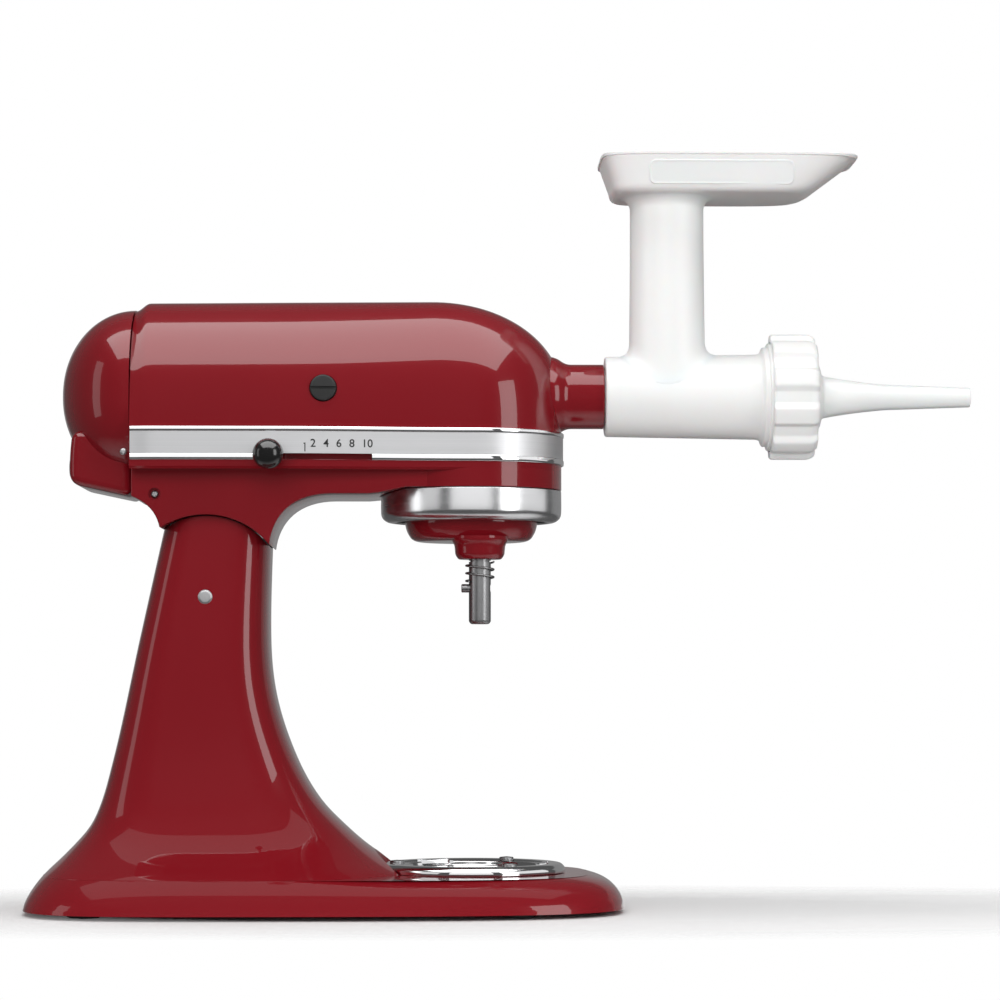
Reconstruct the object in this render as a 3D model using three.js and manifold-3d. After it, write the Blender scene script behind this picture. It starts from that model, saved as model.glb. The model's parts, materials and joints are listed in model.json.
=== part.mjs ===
// Electric meat grinder: a tilt-head kitchen machine on a pedestal, with a grinding attachment on its hub.
// Millimetres, +Z up, +X towards the nozzle, -Y is the side with the speed lever.
// The origin lies on the table, below the middle of the machine's whole length.
import * as THREE from "three";
import { mergeVertices } from "three/addons/utils/BufferGeometryUtils.js";
import Module from "manifold-3d";

const wasm = await Module();
wasm.setup();

// ---------------------------------------------------------------- driving dimensions
const GAP = 0.3; // clearance between pieces that touch
const BASE = { bottom: 2.5, deck: 21.5, back: -275.3, front: 70, halfWidth: 100 };
const PLANET_X = -18; // axis of the mixing planetary and of the bowl plate
const PIVOT = { x: -170.5, z: 180.5 }; // tilt hinge
const NECK_R = 46.5; // the column's round top, about the hinge
const HUB_Z = 299; // motor, hub and grinder axis
const SEAM_X = -213; // joint between head casing and end cover
const HEAD = { halfWidth: 62, noseR: 52.8, skirt: 253, shoulder: 277, wall: 3.5, crown: 300 };
const LOWER = { halfWidth: 46, bottom: 239.7 }; // narrow underside of the head
const FLANK = [-200, -128, -100, -75, -45]; // stations of the head's sides
const BAND = { low: 258, high: 277, thick: 1.2 };
const RING = { low: 227, high: 243.2 }; // drip ring round the planetary
const BRUSH_X = -103;
const HUB = { outer: 18.9, bore: 16.3, end: 59.6 };
const BARREL = { start: 60.2, end: 160, rear: 23.5, front: 25.2, bore: 20.5 };
const FEED = { x: 97, r: 21.6, wall: 2.6, top: 415.7 };
const TRAY = { floor: 416, rim: 438.6 };
const NUT = { start: 157, end: 183.5, r: 36.8, lobes: 10 };
const NOZZLE_END = 275.3;
const LOCK = { x: -182, z: 246 }; // tilt lock lever
const MOTOR = { rear: -190, front: -125, statorR: 40, rotorR: 25.5, shaftR: 4.4 };
const ECCENTRIC = 25.2; // beater axis from the planetary's axis
const BEATER_ANGLE = THREE.MathUtils.degToRad(-79.2);
const BEATER = {
  x: PLANET_X + ECCENTRIC * Math.cos(BEATER_ANGLE),
  y: ECCENTRIC * Math.sin(BEATER_ANGLE),
};

// gear train, motor to beater
const RING_GEAR = { teeth: 36, module: 2.1 };
const PLANET_PINION = { teeth: 12, module: 2.1 };
const CENTRE_GEAR = { teeth: 33, module: 2.5 };
const DRIVE_PINION = { teeth: 12, module: 2.5 };
const WORM_WHEEL = { teeth: 20, module: 1.875 };
const WORM = { pitchR: 7, rootR: 4.9, tipR: 8.5, length: 21 };
const BEVEL = { centreTeeth: 24, hubTeeth: 16, module: 2, faceShare: 0.7 };
const WHEEL_Y = WORM.pitchR + (WORM_WHEEL.teeth * WORM_WHEEL.module) / 2;
const GEAR_DISTANCE = ((CENTRE_GEAR.teeth + DRIVE_PINION.teeth) * CENTRE_GEAR.module) / 2;
const WHEEL_X = PLANET_X - Math.sqrt(GEAR_DISTANCE ** 2 - WHEEL_Y ** 2);

// ---------------------------------------------------------------- solids and placing
// One closed skin: corners merged, faces turned outwards.
const closed = (geometry) => {
  const bare = geometry.clone();
  bare.deleteAttribute("normal");
  bare.deleteAttribute("uv");
  const g = mergeVertices(bare, 1e-4);
  const corner = (i) => new THREE.Vector3().fromBufferAttribute(g.attributes.position, g.index.getX(i));
  let volume = 0;
  for (let i = 0; i < g.index.count; i += 3) volume += corner(i).dot(corner(i + 1).cross(corner(i + 2)));
  if (volume < 0) g.setIndex(Array.from(g.index.array).reverse());
  return g;
};

const solid = (geometry) => {
  const g = closed(geometry);
  const triVerts = new Uint32Array(g.index.array);
  const made = new wasm.Mesh({ numProp: 3, vertProperties: g.attributes.position.array, triVerts });
  return new wasm.Manifold(made);
};

const geometryOf = (manifold) => {
  const mesh = manifold.simplify(0.03).getMesh();
  const g = new THREE.BufferGeometry();
  g.setAttribute("position", new THREE.BufferAttribute(new Float32Array(mesh.vertProperties), 3));
  g.setIndex(new THREE.BufferAttribute(new Uint32Array(mesh.triVerts), 1));
  return g;
};

const cut = (body, ...tools) => {
  const left = tools.reduce((m, tool) => m.subtract(solid(tool)), solid(body));
  return geometryOf(left);
};

const join = (body, ...others) => {
  const whole = others.reduce((m, other) => m.add(solid(other)), solid(body));
  return geometryOf(whole);
};

const common = (a, b) => geometryOf(solid(a).intersect(solid(b)));

const box = (x0, x1, y0, y1, z0, z1) =>
  new THREE.BoxGeometry(x1 - x0, y1 - y0, z1 - z0).translate((x0 + x1) / 2, (y0 + y1) / 2, (z0 + z1) / 2);

// Cylinders between two stations of an axis, through a point given by its other two coordinates.
const rodX = (r, x0, x1, y, z, sides = 24) =>
  new THREE.CylinderGeometry(r, r, x1 - x0, sides).rotateZ(Math.PI / 2).translate((x0 + x1) / 2, y, z);
const rodY = (r, y0, y1, x, z, sides = 24) =>
  new THREE.CylinderGeometry(r, r, y1 - y0, sides).translate(x, (y0 + y1) / 2, z);
const rodZ = (r, z0, z1, x, y, sides = 24) =>
  new THREE.CylinderGeometry(r, r, z1 - z0, sides).rotateX(Math.PI / 2).translate(x, y, (z0 + z1) / 2);

// A profile of [radius, station] pairs turned round the X or the Z axis.
const turnedY = (profile, sides) =>
  new THREE.LatheGeometry(profile.map(([r, s]) => new THREE.Vector2(r, s)), sides);
const turnedX = (profile, y, z, sides = 32) =>
  turnedY(profile, sides).rotateZ(-Math.PI / 2).translate(0, y, z);
const turnedZ = (profile, x, y, sides = 32) =>
  turnedY(profile, sides).rotateX(Math.PI / 2).translate(x, y, 0);
const reversed = (list) => [...list].reverse();

// A shape drawn in X and Z, extruded over a stretch of Y.
const slabXZ = (shape, y0, y1, curveSegments = 12) =>
  new THREE.ExtrudeGeometry(shape, { depth: y1 - y0, bevelEnabled: false, curveSegments })
    .rotateX(Math.PI / 2)
    .translate(0, y1, 0);
// A shape drawn in X and Y, extruded over a stretch of Z.
const slabXY = (shape, z0, z1, curveSegments = 12) =>
  new THREE.ExtrudeGeometry(shape, {
    depth: z1 - z0,
    bevelEnabled: false,
    curveSegments,
  }).translate(0, 0, z0);

// Skins a stack of rings with the same number of points, and closes both ends with a fan.
const loft = (rings) => {
  const count = rings[0].length;
  const points = rings.flat();
  const faces = [];
  for (let r = 0; r + 1 < rings.length; r++) {
    for (let i = 0; i < count; i++) {
      const a = r * count + i;
      const b = r * count + ((i + 1) % count);
      faces.push(a, b, b + count, a, b + count, a + count);
    }
  }
  for (const [ring, start] of [[rings[0], 0], [rings.at(-1), (rings.length - 1) * count]]) {
    const middle = ring.reduce((sum, p) => sum.add(p), new THREE.Vector3()).divideScalar(count);
    points.push(middle);
    for (let i = 0; i < count; i++) {
      const a = start + i;
      const b = start + ((i + 1) % count);
      faces.push(...(start ? [a, b, points.length - 1] : [b, a, points.length - 1]));
    }
  }
  const g = new THREE.BufferGeometry().setFromPoints(points);
  g.setIndex(faces);
  return g;
};

const lerp = THREE.MathUtils.lerp;
const smooth = (t) => THREE.MathUtils.smoothstep(t, 0, 1);

// The value at a station of a smooth curve through [station, value] pairs.
const along = (pairs, s) => {
  const i = THREE.MathUtils.clamp(pairs.findIndex(([p]) => p > s), 1, pairs.length - 1) || 1;
  const j = pairs.at(-1)[0] <= s ? pairs.length - 1 : i;
  const slope = (k) => {
    const [a, b] = [pairs[Math.max(k - 1, 0)], pairs[Math.min(k + 1, pairs.length - 1)]];
    return (b[1] - a[1]) / (b[0] - a[0]);
  };
  const [s0, v0] = pairs[j - 1];
  const [s1, v1] = pairs[j];
  const h = s1 - s0;
  const t = THREE.MathUtils.clamp((s - s0) / h, 0, 1);
  const [a, b] = [slope(j - 1) * h, slope(j) * h];
  return v0 + t * (a + t * (3 * (v1 - v0) - 2 * a - b + t * (a + b - 2 * (v1 - v0))));
};

// A rounded outline at one height, with its own squareness at the back and at the front.
const roundedRing = (z, back, front, halfWidth, squareBack, squareFront, middle, count) => {
  const power = (v, n) => Math.sign(v) * Math.abs(v) ** (2 / n);
  return Array.from({ length: count }, (_, i) => {
    const t = (2 * Math.PI * i) / count;
    const square = Math.cos(t) > 0 ? squareFront : squareBack;
    const reach = Math.cos(t) > 0 ? front - middle : middle - back;
    const x = middle + reach * power(Math.cos(t), square);
    return new THREE.Vector3(x, halfWidth * power(Math.sin(t), square), z);
  });
};

// ---------------------------------------------------------------- gears
// Involute outline of a spur gear round the origin; one tooth is centred on the angle phase.
const gearPoints = (spec) => {
  const { teeth, module, phase = 0, backlash = 0.3 } = spec;
  const { addendum = 0.85, dedendum = 1.15, pressure = 20 } = spec;
  const r = (teeth * module) / 2;
  const alpha = THREE.MathUtils.degToRad(pressure);
  const rBase = r * Math.cos(alpha);
  const involute = (radius) => {
    const a = Math.acos(Math.min(1, rBase / Math.max(radius, rBase)));
    return Math.tan(a) - a;
  };
  const atPitch = (Math.PI * module / 2 - backlash) / (2 * r) + Math.tan(alpha) - alpha;
  const half = (radius) => atPitch - involute(radius);
  const radii = [r - dedendum * module, r + addendum * module];
  const points = [];
  for (let i = 0; i < teeth; i++) {
    const centre = phase + (2 * Math.PI * i) / teeth;
    for (const radius of radii) points.push([radius, centre - half(radius)]);
    for (const radius of reversed(radii)) points.push([radius, centre + half(radius)]);
  }
  return points.map(([radius, a]) => new THREE.Vector2(radius * Math.cos(a), radius * Math.sin(a)));
};

const at = (points, x, y) => points.map((p) => new THREE.Vector2(p.x + x, p.y + y));

const roundHole = (x, y, r, sides = 24) =>
  new THREE.Path(
    Array.from({ length: sides }, (_, i) => {
      const a = (2 * Math.PI * i) / sides;
      return new THREE.Vector2(x + r * Math.cos(a), y + r * Math.sin(a));
    }),
  );

const spurGear = (spec, x, y, z0, z1, boreR) => {
  const shape = new THREE.Shape(at(gearPoints(spec), x, y));
  shape.holes.push(roundHole(x, y, boreR));
  return slabXY(shape, z0, z1);
};

// A gear outline lofted between stations of Z about the origin; each station gives [z, scale, twist].
const gearLoft = (outline, stations) =>
  loft(
    stations.map(([z, scale, twist]) =>
      outline.map((p) => {
        const q = p.clone().rotateAround(new THREE.Vector2(), twist).multiplyScalar(scale);
        return new THREE.Vector3(q.x, q.y, z);
      }),
    ),
  );

// A ridge of trapezoid section wound round the X axis; half widths at its root and its tip.
const helixRidge = (shape) => {
  const { x0, x1, pitch, rootR, tipR, rootHalf, tipHalf, stepsPerTurn, phase = 0, hand = 1 } = shape;
  const steps = Math.round(((x1 - x0) / pitch) * stepsPerTurn);
  const rings = [];
  for (let i = 0; i <= steps; i++) {
    const x = lerp(x0, x1, i / steps);
    const a = phase + (hand * 2 * Math.PI * (x - x0)) / pitch;
    const corner = (r, dx) => new THREE.Vector3(x + dx, r * Math.cos(a), r * Math.sin(a));
    const root = [corner(rootR, -rootHalf), corner(rootR, rootHalf)];
    rings.push([...root, corner(tipR, tipHalf), corner(tipR, -tipHalf)]);
  }
  return loft(rings);
};

// ---------------------------------------------------------------- materials
const finish = (color, roughness, metalness) =>
  new THREE.MeshStandardMaterial({ color, roughness, metalness });
const paint = finish(0x8e1a22, 0.25, 0.1);
const chrome = finish(0xd8d8da, 0.12, 1);
const satin = finish(0xc9cacc, 0.35, 1);
const steel = finish(0x8a8c8e, 0.35, 1);
const casting = finish(0x9a9c9e, 0.6, 0.8);
const white = finish(0xe9e9e7, 0.4, 0);
const black = finish(0x141414, 0.3, 0);
const rubber = finish(0x202020, 0.8, 0);
const copper = finish(0xb0643a, 0.4, 1);
const carbon = finish(0x2a2a2c, 0.6, 0);
const brass = finish(0xb5933f, 0.35, 1);
const laminate = finish(0x6e7072, 0.5, 0.8);

const machine = new THREE.Group();
const add = (name, geometry, material) => {
  const mesh = new THREE.Mesh(closed(geometry), material);
  mesh.name = name;
  machine.add(mesh);
};

// ---------------------------------------------------------------- base and column
const BACK_LINE = [
  [2.5, -275.3], [10.8, -273.6], [22, -265], [34, -251],
  [52, -236], [87, -225], [157, -210], [235, -193],
];
const FRONT_LINE = [
  [21, -50], [34, -73], [46, -88], [63, -105],
  [87, -119], [122, -131], [157, -135], [235, -133.5],
];
const SIDE_LINE = [
  [2.5, 100], [12, 97.5], [21.5, 88], [30, 76], [44, 62],
  [63, 52.5], [95, 46.5], [157, 43.5], [235, 41],
];
const NOSE_LINE = [[2.5, 70], [8, 69], [14, 65.5], [18.5, 60], [21.5, 53]];

const FOOT_MIDDLE = -150;

const baseRing = (z, inset, count) => {
  const [back, front] = [along(BACK_LINE, z) + inset, along(NOSE_LINE, z) - inset];
  return roundedRing(z, back, front, along(SIDE_LINE, z) - inset, 3.7, 3.6, FOOT_MIDDLE, count);
};

const columnRing = (z, inset, count) => {
  const [back, front] = [along(BACK_LINE, z) + inset, along(FRONT_LINE, z) - inset];
  const spread = smooth((z - BASE.deck) / 60);
  const middle = lerp(FOOT_MIDDLE, (back + front) / 2, spread);
  const half = along(SIDE_LINE, z) - inset;
  return roundedRing(z, back, front, half, 3.7, lerp(2.2, 3.6, spread), middle, count);
};

const COLUMN_BOLTS = [[-222, -38], [-222, 38]];
const FEET = [[-236, -68], [-236, 68], [8, -70], [8, 70], [50, 0]];
const PLATE = { r: 54.8, thick: 5.2, screwR: 43 };
const CLAMP_SCREWS = [0, 120, 240].map((deg) => {
  const a = THREE.MathUtils.degToRad(deg + 60);
  return [PLANET_X + PLATE.screwR * Math.cos(a), PLATE.screwR * Math.sin(a)];
});

const makeBase = () => {
  const skin = loft([2.5, 8, 14, 18.5, 21.5].map((z) => baseRing(z, 0, 36)));
  const hollow = loft([-1, 17].map((z) => baseRing(14, 2, 20).map((p) => p.setZ(z))));
  let body = cut(skin, hollow);
  const posts = [...FEET.map(([x, y]) => rodZ(11, 6, 19, x, y, 12))];
  posts.push(...CLAMP_SCREWS.map(([x, y]) => rodZ(6, 8, 19, x, y, 8)));
  posts.push(...COLUMN_BOLTS.map(([x, y]) => rodZ(9, 8, 19, x, y, 8)));
  body = join(body, ...posts);
  const holes = CLAMP_SCREWS.map(([x, y]) => rodZ(2.8, 4, 25, x, y, 8));
  holes.push(...COLUMN_BOLTS.map(([x, y]) => rodZ(3.8, 0, 25, x, y, 8)));
  return cut(body, ...holes);
};

const makeColumn = () => {
  const top = 236;
  const heights = [21.5 + GAP, 25, 30, 37, 47, 66, 100, 157, top];
  const inner = [27, 34, 46, 75, 125, 210];
  let body = loft(heights.map((z) => columnRing(z, 0, 24)));
  body = common(body, join(rodY(NECK_R, -60, 60, PIVOT.x, PIVOT.z, 48), box(-300, 0, -110, 110, 0, 200)));
  body = cut(body, loft(inner.map((z) => columnRing(z, 5, 16))));
  const lugWindow = box(-205, -138, -16, 16, 190, 250);
  const plateSeat = rodZ(PLATE.r + 1.6, 0, 60, PLANET_X, 0, 32);
  const pinHole = rodY(4.8, -60, 60, PIVOT.x, PIVOT.z, 16);
  const shelf = COLUMN_BOLTS.map(([x, y]) => rodZ(10, 21.5 + GAP, 40, x, y, 8));
  body = cut(join(body, ...shelf), lugWindow, plateSeat, pinHole);
  return cut(body, ...COLUMN_BOLTS.map(([x, y]) => rodZ(3.8, 10, 36, x, y, 8)));
};

// Bayonet plate that takes the foot of a bowl: three lugs reach inwards over a round well.
const makeClampPlate = () => {
  const low = BASE.deck + GAP;
  const { r, thick } = PLATE;
  const profile = [[39, low], [r, low], [r, low + 3], [r - 2.2, low + thick], [39, low + thick], [39, low]];
  let plate = turnedZ(profile, PLANET_X, 0, 32);
  const notches = [0, 120, 240].map((deg) =>
    box(30, 46, -11, 11, low + 2, low + 9)
      .rotateZ(THREE.MathUtils.degToRad(deg))
      .translate(PLANET_X, 0, 0),
  );
  plate = join(plate, rodZ(40, low, low + 1.4, PLANET_X, 0, 20));
  return cut(plate, ...notches, ...CLAMP_SCREWS.map(([x, y]) => rodZ(2.8, 0, 60, x, y, 8)));
};

const makeBolt = (x, y, headLow, headHigh, headR, shankLow, shankHigh, shankR, slotAt) => {
  const bolt = join(rodZ(headR, headLow, headHigh, x, y, 10), rodZ(shankR, shankLow, shankHigh, x, y, 8));
  const slot = slotAt > headLow + 0.1 ? [slotAt - 0.8, slotAt + 1] : [slotAt - 1, slotAt + 0.8];
  return cut(bolt, box(x - headR - 1, x + headR + 1, y - 0.6, y + 0.6, ...slot));
};

add("base_casting", makeBase(), paint);
add("column", makeColumn(), paint);
add("bowl_clamp_plate", makeClampPlate(), chrome);
CLAMP_SCREWS.forEach(([x, y], i) => {
  const top = BASE.deck + GAP + PLATE.thick;
  const screw = makeBolt(x, y, top + 0.2, top + 1.6, 4.2, 12, top + 0.3, 2.2, top + 1.6);
  add(`clamp_screw_${i + 1}`, screw, steel);
});
COLUMN_BOLTS.forEach(([x, y], i) => {
  add(`column_bolt_${i + 1}`, makeBolt(x, y, 4, 7.7, 6, 7.6, 34, 3.2, 4), steel);
});
FEET.forEach(([x, y], i) => {
  const foot = turnedZ([[0, 0], [8.5, 0], [10, 1.2], [10, 5.7], [0, 5.7]], x, y, 14);
  add(`foot_${i + 1}`, foot, rubber);
});
const pinProfile = [[0, -43.4], [3.6, -43.4], [4.4, -42.4], [4.4, 42.4], [3.6, 43.4], [0, 43.4]];
add("hinge_pin", turnedY(pinProfile, 16).translate(PIVOT.x, 0, PIVOT.z), satin);

// ---------------------------------------------------------------- head casing
const headHalfWidth = (x) => {
  if (x <= PLANET_X) {
    const rear = 1.2 * smooth((-200 - x) / 13);
    return lerp(HEAD.noseR, HEAD.halfWidth, smooth((PLANET_X - x) / 110)) - rear;
  }
  return HEAD.noseR * Math.sqrt(Math.max(0, 1 - ((x - PLANET_X) / HEAD.noseR) ** 2));
};
const headTop = (x) => {
  if (x > -40) return HEAD.crown + 54.2 * Math.sqrt(Math.max(0, 1 - ((x + 40) / 75.5) ** 2));
  return lerp(354.2, 352.8, (-40 - x) / 170) - 4.5 * smooth((-205 - x) / 8);
};

// One upright section of the head at a station of X, from skirt to crown and down again.
const headRing = (x, inset, skirt, steps) => {
  const w = Math.max(0.6, headHalfWidth(x) - inset);
  const rise = headTop(x) - inset - HEAD.shoulder;
  const ring = [new THREE.Vector3(x, -w, skirt)];
  for (let i = 0; i <= steps; i++) {
    const t = Math.PI * (i / steps);
    const y = -Math.sign(Math.cos(t)) * w * Math.abs(Math.cos(t)) ** (2 / 2.35);
    ring.push(new THREE.Vector3(x, y, HEAD.shoulder + rise * Math.sin(t) ** (2 / 2.35)));
  }
  ring.push(new THREE.Vector3(x, w, skirt));
  return ring.reverse();
};

const noseStations = (r, degrees) =>
  degrees.map((deg) => PLANET_X + r * Math.sin(THREE.MathUtils.degToRad(deg)));

const makeHeadCasing = () => {
  const outerX = [SEAM_X, -209, -205, ...FLANK, PLANET_X];
  outerX.push(...noseStations(HEAD.noseR, [20, 37, 52, 65, 76, 85]));
  const innerX = [SEAM_X - 1, -128, -100, -75, -45, PLANET_X, ...noseStations(HEAD.noseR, [20, 40, 66])];
  let body = loft(outerX.map((x) => headRing(x, 0, HEAD.skirt, 12)));

  // narrow underside, neck and the round saddle over the column
  const side = new THREE.Shape();
  const saddle = NECK_R + 0.6;
  const rearAngle = Math.acos((-196.5 - PIVOT.x) / saddle);
  const frontAngle = Math.acos((-134 - PIVOT.x) / saddle);
  side.moveTo(SEAM_X, 256);
  side.lineTo(SEAM_X, 238);
  side.quadraticCurveTo(-199, 233, -196.5, PIVOT.z + saddle * Math.sin(rearAngle));
  side.absarc(PIVOT.x, PIVOT.z, saddle, rearAngle, frontAngle, true);
  side.bezierCurveTo(-132, 228, -120, LOWER.bottom, -98, LOWER.bottom);
  side.lineTo(-76, LOWER.bottom);
  side.lineTo(-57, RING.high + GAP);
  side.lineTo(-30, RING.high + GAP);
  side.lineTo(-30, 256);
  const under = slabXZ(side, -LOWER.halfWidth, LOWER.halfWidth, 8);
  const noseBarrel = rodZ(HEAD.noseR, RING.high + GAP, 262, PLANET_X, 0, 40);
  const stub = rodX(HUB.outer, 20, HUB.end, 0, HUB_Z, 20);
  body = join(body, under, noseBarrel, stub);

  // hollow inside, open at the back and under the nose
  body = cut(
    body,
    loft(innerX.map((x) => headRing(x, HEAD.wall, 256, 8))),
    box(-196, -82, -40, 40, 243.5, 258),
    rodZ(53.8, 200, RING.high + GAP + 0.3, PLANET_X, 0, 36),
    rodZ(49, 230, 258, PLANET_X, 0, 36),
  );
  const hubBoss = rodX(17.5, 13, 34, 0, HUB_Z, 20);
  const cradles = [-191, -142].map((x) => {
    const round = rodX(MOTOR.statorR + 0.8, x - 1, x + 6, 0, HUB_Z, 24);
    return cut(box(x, x + 5, -42, 42, 242, 275), round);
  });
  const ears = [-60, 42].map((y) => box(-212, -204, y, y + 18, HUB_Z - 6, HUB_Z + 6));
  const crownBoss = rodZ(9, 312, 347.5, PLANET_X, 0, 12);
  const lug = join(
    rodY(13, -15.4, 15.4, PIVOT.x, PIVOT.z, 24),
    slabXZ(
      new THREE.Shape([
        new THREE.Vector2(PIVOT.x - 4, PIVOT.z + 6),
        new THREE.Vector2(PIVOT.x + 11, PIVOT.z),
        new THREE.Vector2(PIVOT.x + 28, PIVOT.z + 49),
        new THREE.Vector2(PIVOT.x + 4, PIVOT.z + 49),
      ]),
      -15.4,
      15.4,
    ),
  );
  body = join(body, hubBoss, crownBoss, lug, ...cradles, ...ears);
  return cut(
    body,
    rodX(HUB.bore, 33.5, HUB.end + 1, 0, HUB_Z, 20),
    rodX(11.6, 10, 40, 0, HUB_Z, 16),
    rodZ(6.9, 300, 334, PLANET_X, 0, 14),
    rodY(4.8, -20, 20, PIVOT.x, PIVOT.z, 14),
    rodY(7.8, -70, 70, BRUSH_X, HUB_Z, 16),
    rodY(3.4, 10, 24, 47, HUB_Z, 12),
    box(-138, -75, -70, -50, BAND.low + 0.2, 261.6),
    box(-186, -160, 38, 50, LOCK.z - 2.1, LOCK.z + 2.1),
  );
};

// Bright band round the head, from the seam on one side round the nose to the other.
const makeTrimBand = () => {
  const run = (offset) => {
    const straight = [SEAM_X + 0.6, ...FLANK];
    const side = straight.map((x) => new THREE.Vector2(x, headHalfWidth(x) + offset));
    const nose = Array.from({ length: 17 }, (_, i) => {
      const a = Math.PI / 2 - (Math.PI * i) / 16;
      const r = HEAD.noseR + offset;
      return new THREE.Vector2(PLANET_X + r * Math.cos(a), r * Math.sin(a));
    });
    const other = reversed(side).map((p) => new THREE.Vector2(p.x, -p.y));
    return [...side, ...nose, ...other];
  };
  const shape = new THREE.Shape([...run(GAP + BAND.thick), ...reversed(run(GAP))]);
  return cut(
    slabXY(shape, BAND.low, BAND.high),
    box(-138, -75, -70, -50, BAND.low - 1, 261.6),
    rodX(HUB.outer + 0.4, 30, 60, 0, HUB_Z, 32),
  );
};

// Rounded cover over the motor's rear, with a box below it that holds the cord inlet.
const makeEndCover = () => {
  const depth = 43.4 - GAP;
  const back = SEAM_X - GAP;
  const dome = (inset, reach, steps) =>
    loft(
      [0, 18, 36, 52, 66, 78, 87].map((deg) => {
        const a = THREE.MathUtils.degToRad(deg);
        const x = back - reach * Math.sin(a);
        return Array.from({ length: steps }, (_, i) => {
          const t = (2 * Math.PI * i) / steps;
          const [c, s] = [Math.cos(t), Math.sin(t)];
          const y = (60.4 - inset) * Math.cos(a) * Math.sign(c) * Math.abs(c) ** (2 / 2.35);
          const rise = (50.4 - inset) * Math.cos(a) * Math.sign(s) * Math.abs(s) ** (2 / 2.35);
          return new THREE.Vector3(x, y, 298 + rise);
        });
      }),
    );
  const side = new THREE.Shape();
  side.moveTo(back, 274);
  side.lineTo(-248.5, 274);
  side.lineTo(-248.9, 252);
  side.quadraticCurveTo(-248.9, 246.5, -242, 245);
  side.lineTo(back, 238);
  const shell = join(dome(0, depth, 24), slabXZ(side, -40, 40, 5));
  const dust = box(-245, back + 1, -36.5, 36.5, 250, 276);
  const hollow = join(dome(3.4, depth - 3.4, 16).translate(0.5, 0, 0), dust);
  return cut(shell, hollow, rodX(5.4, -260, -240, 0, 257, 12));
};

add("head_casing", makeHeadCasing(), paint);
add("trim_band", makeTrimBand(), chrome);
add("end_cover", makeEndCover(), paint);
const grommetProfile = [[0, -252.5], [6.6, -252.5], [6.6, -249.4], [4.8, -249.4], [4.8, -242], [0, -242]];
add("cord_grommet", cut(turnedX(grommetProfile, 0, 257, 14), rodX(3, -250, -240, 0, 257, 8)), rubber);

// ---------------------------------------------------------------- motor
const makeStator = () => {
  const shape = new THREE.Shape(roundHole(0, 0, MOTOR.statorR, 24).getPoints());
  shape.holes.push(roundHole(0, 0, 27, 24));
  for (const [a, b] of [[-1, -1], [1, -1], [-1, 1], [1, 1]]) {
    shape.holes.push(roundHole(33 * Math.SQRT1_2 * a, 33 * Math.SQRT1_2 * b, 4, 8));
  }
  const core = new THREE.ExtrudeGeometry(shape, { depth: MOTOR.front - MOTOR.rear, bevelEnabled: false });
  return core.rotateY(Math.PI / 2).translate(MOTOR.rear, 0, HUB_Z);
};
const makeFieldCoils = () => {
  const ringAt = (x0, x1) => cut(rodX(38, x0, x1, 0, HUB_Z, 20), rodX(28.5, x0 - 1, x1 + 1, 0, HUB_Z, 16));
  const bars = [[-1, -1], [1, -1], [-1, 1], [1, 1]].map(([a, b]) =>
    rodX(3.4, MOTOR.rear - 4, MOTOR.front + 4, 33 * Math.SQRT1_2 * a, HUB_Z + 33 * Math.SQRT1_2 * b, 6),
  );
  return join(ringAt(MOTOR.rear - 8, MOTOR.rear - GAP), ringAt(MOTOR.front + GAP, MOTOR.front + 8), ...bars);
};
const makeRotor = () => {
  const points = Array.from({ length: 36 }, (_, i) => {
    const a = (2 * Math.PI * (i + 0.5)) / 36;
    const r = i % 3 === 0 ? 19 : MOTOR.rotorR;
    return new THREE.Vector2(r * Math.cos(a), r * Math.sin(a));
  });
  const shape = new THREE.Shape(points);
  shape.holes.push(roundHole(0, 0, MOTOR.shaftR + GAP, 16));
  const length = MOTOR.front - MOTOR.rear - 6;
  return new THREE.ExtrudeGeometry(shape, { depth: length, bevelEnabled: false })
    .rotateY(Math.PI / 2)
    .translate(MOTOR.rear + 3, 0, HUB_Z);
};

const WORM_PITCH = Math.PI * WORM_WHEEL.module;
const makeArmatureShaft = () => {
  const [x0, x1] = [WHEEL_X - WORM.length / 2, WHEEL_X + WORM.length / 2];
  const shaft = turnedX(
    [[0, -244], [4.4, -244], [4.4, -96], [4.9, x0 - 3], [WORM.rootR, x1 + 2], [3.6, x1 + 3], [0, x1 + 3]],
    0,
    HUB_Z,
    14,
  );
  // the thread's groove faces the wheel at the middle of the worm
  const turns = (WHEEL_X - x0) / WORM_PITCH;
  const thread = helixRidge({
    x0,
    x1,
    pitch: WORM_PITCH,
    rootR: WORM.rootR - 0.6,
    tipR: WORM.tipR,
    rootHalf: 2.05,
    tipHalf: 0.62,
    stepsPerTurn: 10,
    phase: Math.PI - 2 * Math.PI * turns,
  });
  return join(shaft, thread.translate(0, 0, HUB_Z));
};
const makeFan = () => {
  let fan = rodX(9, -206, -199.5, 0, HUB_Z, 16);
  fan = join(fan, rodX(33, -200.8, -199.5, 0, HUB_Z, 20));
  const blades = Array.from({ length: 7 }, (_, i) =>
    box(-206, -200, -0.9, 0.9, 6, 32).rotateX((2 * Math.PI * i) / 7).translate(0, 0, HUB_Z),
  );
  return cut(join(fan, ...blades), rodX(MOTOR.shaftR + GAP, -210, -190, 0, HUB_Z, 16));
};
const makeGovernor = () => {
  const drum = turnedX([[0, -227], [10, -227], [20, -214], [20, -211], [0, -211]], 0, HUB_Z, 20);
  return cut(drum, rodX(MOTOR.shaftR + GAP, -230, -205, 0, HUB_Z, 16));
};

const ringX = (outer, inner, x0, x1) =>
  cut(rodX(outer, x0, x1, 0, HUB_Z, 20), rodX(inner, x0 - 1, x1 + 1, 0, HUB_Z, 14));

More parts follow.
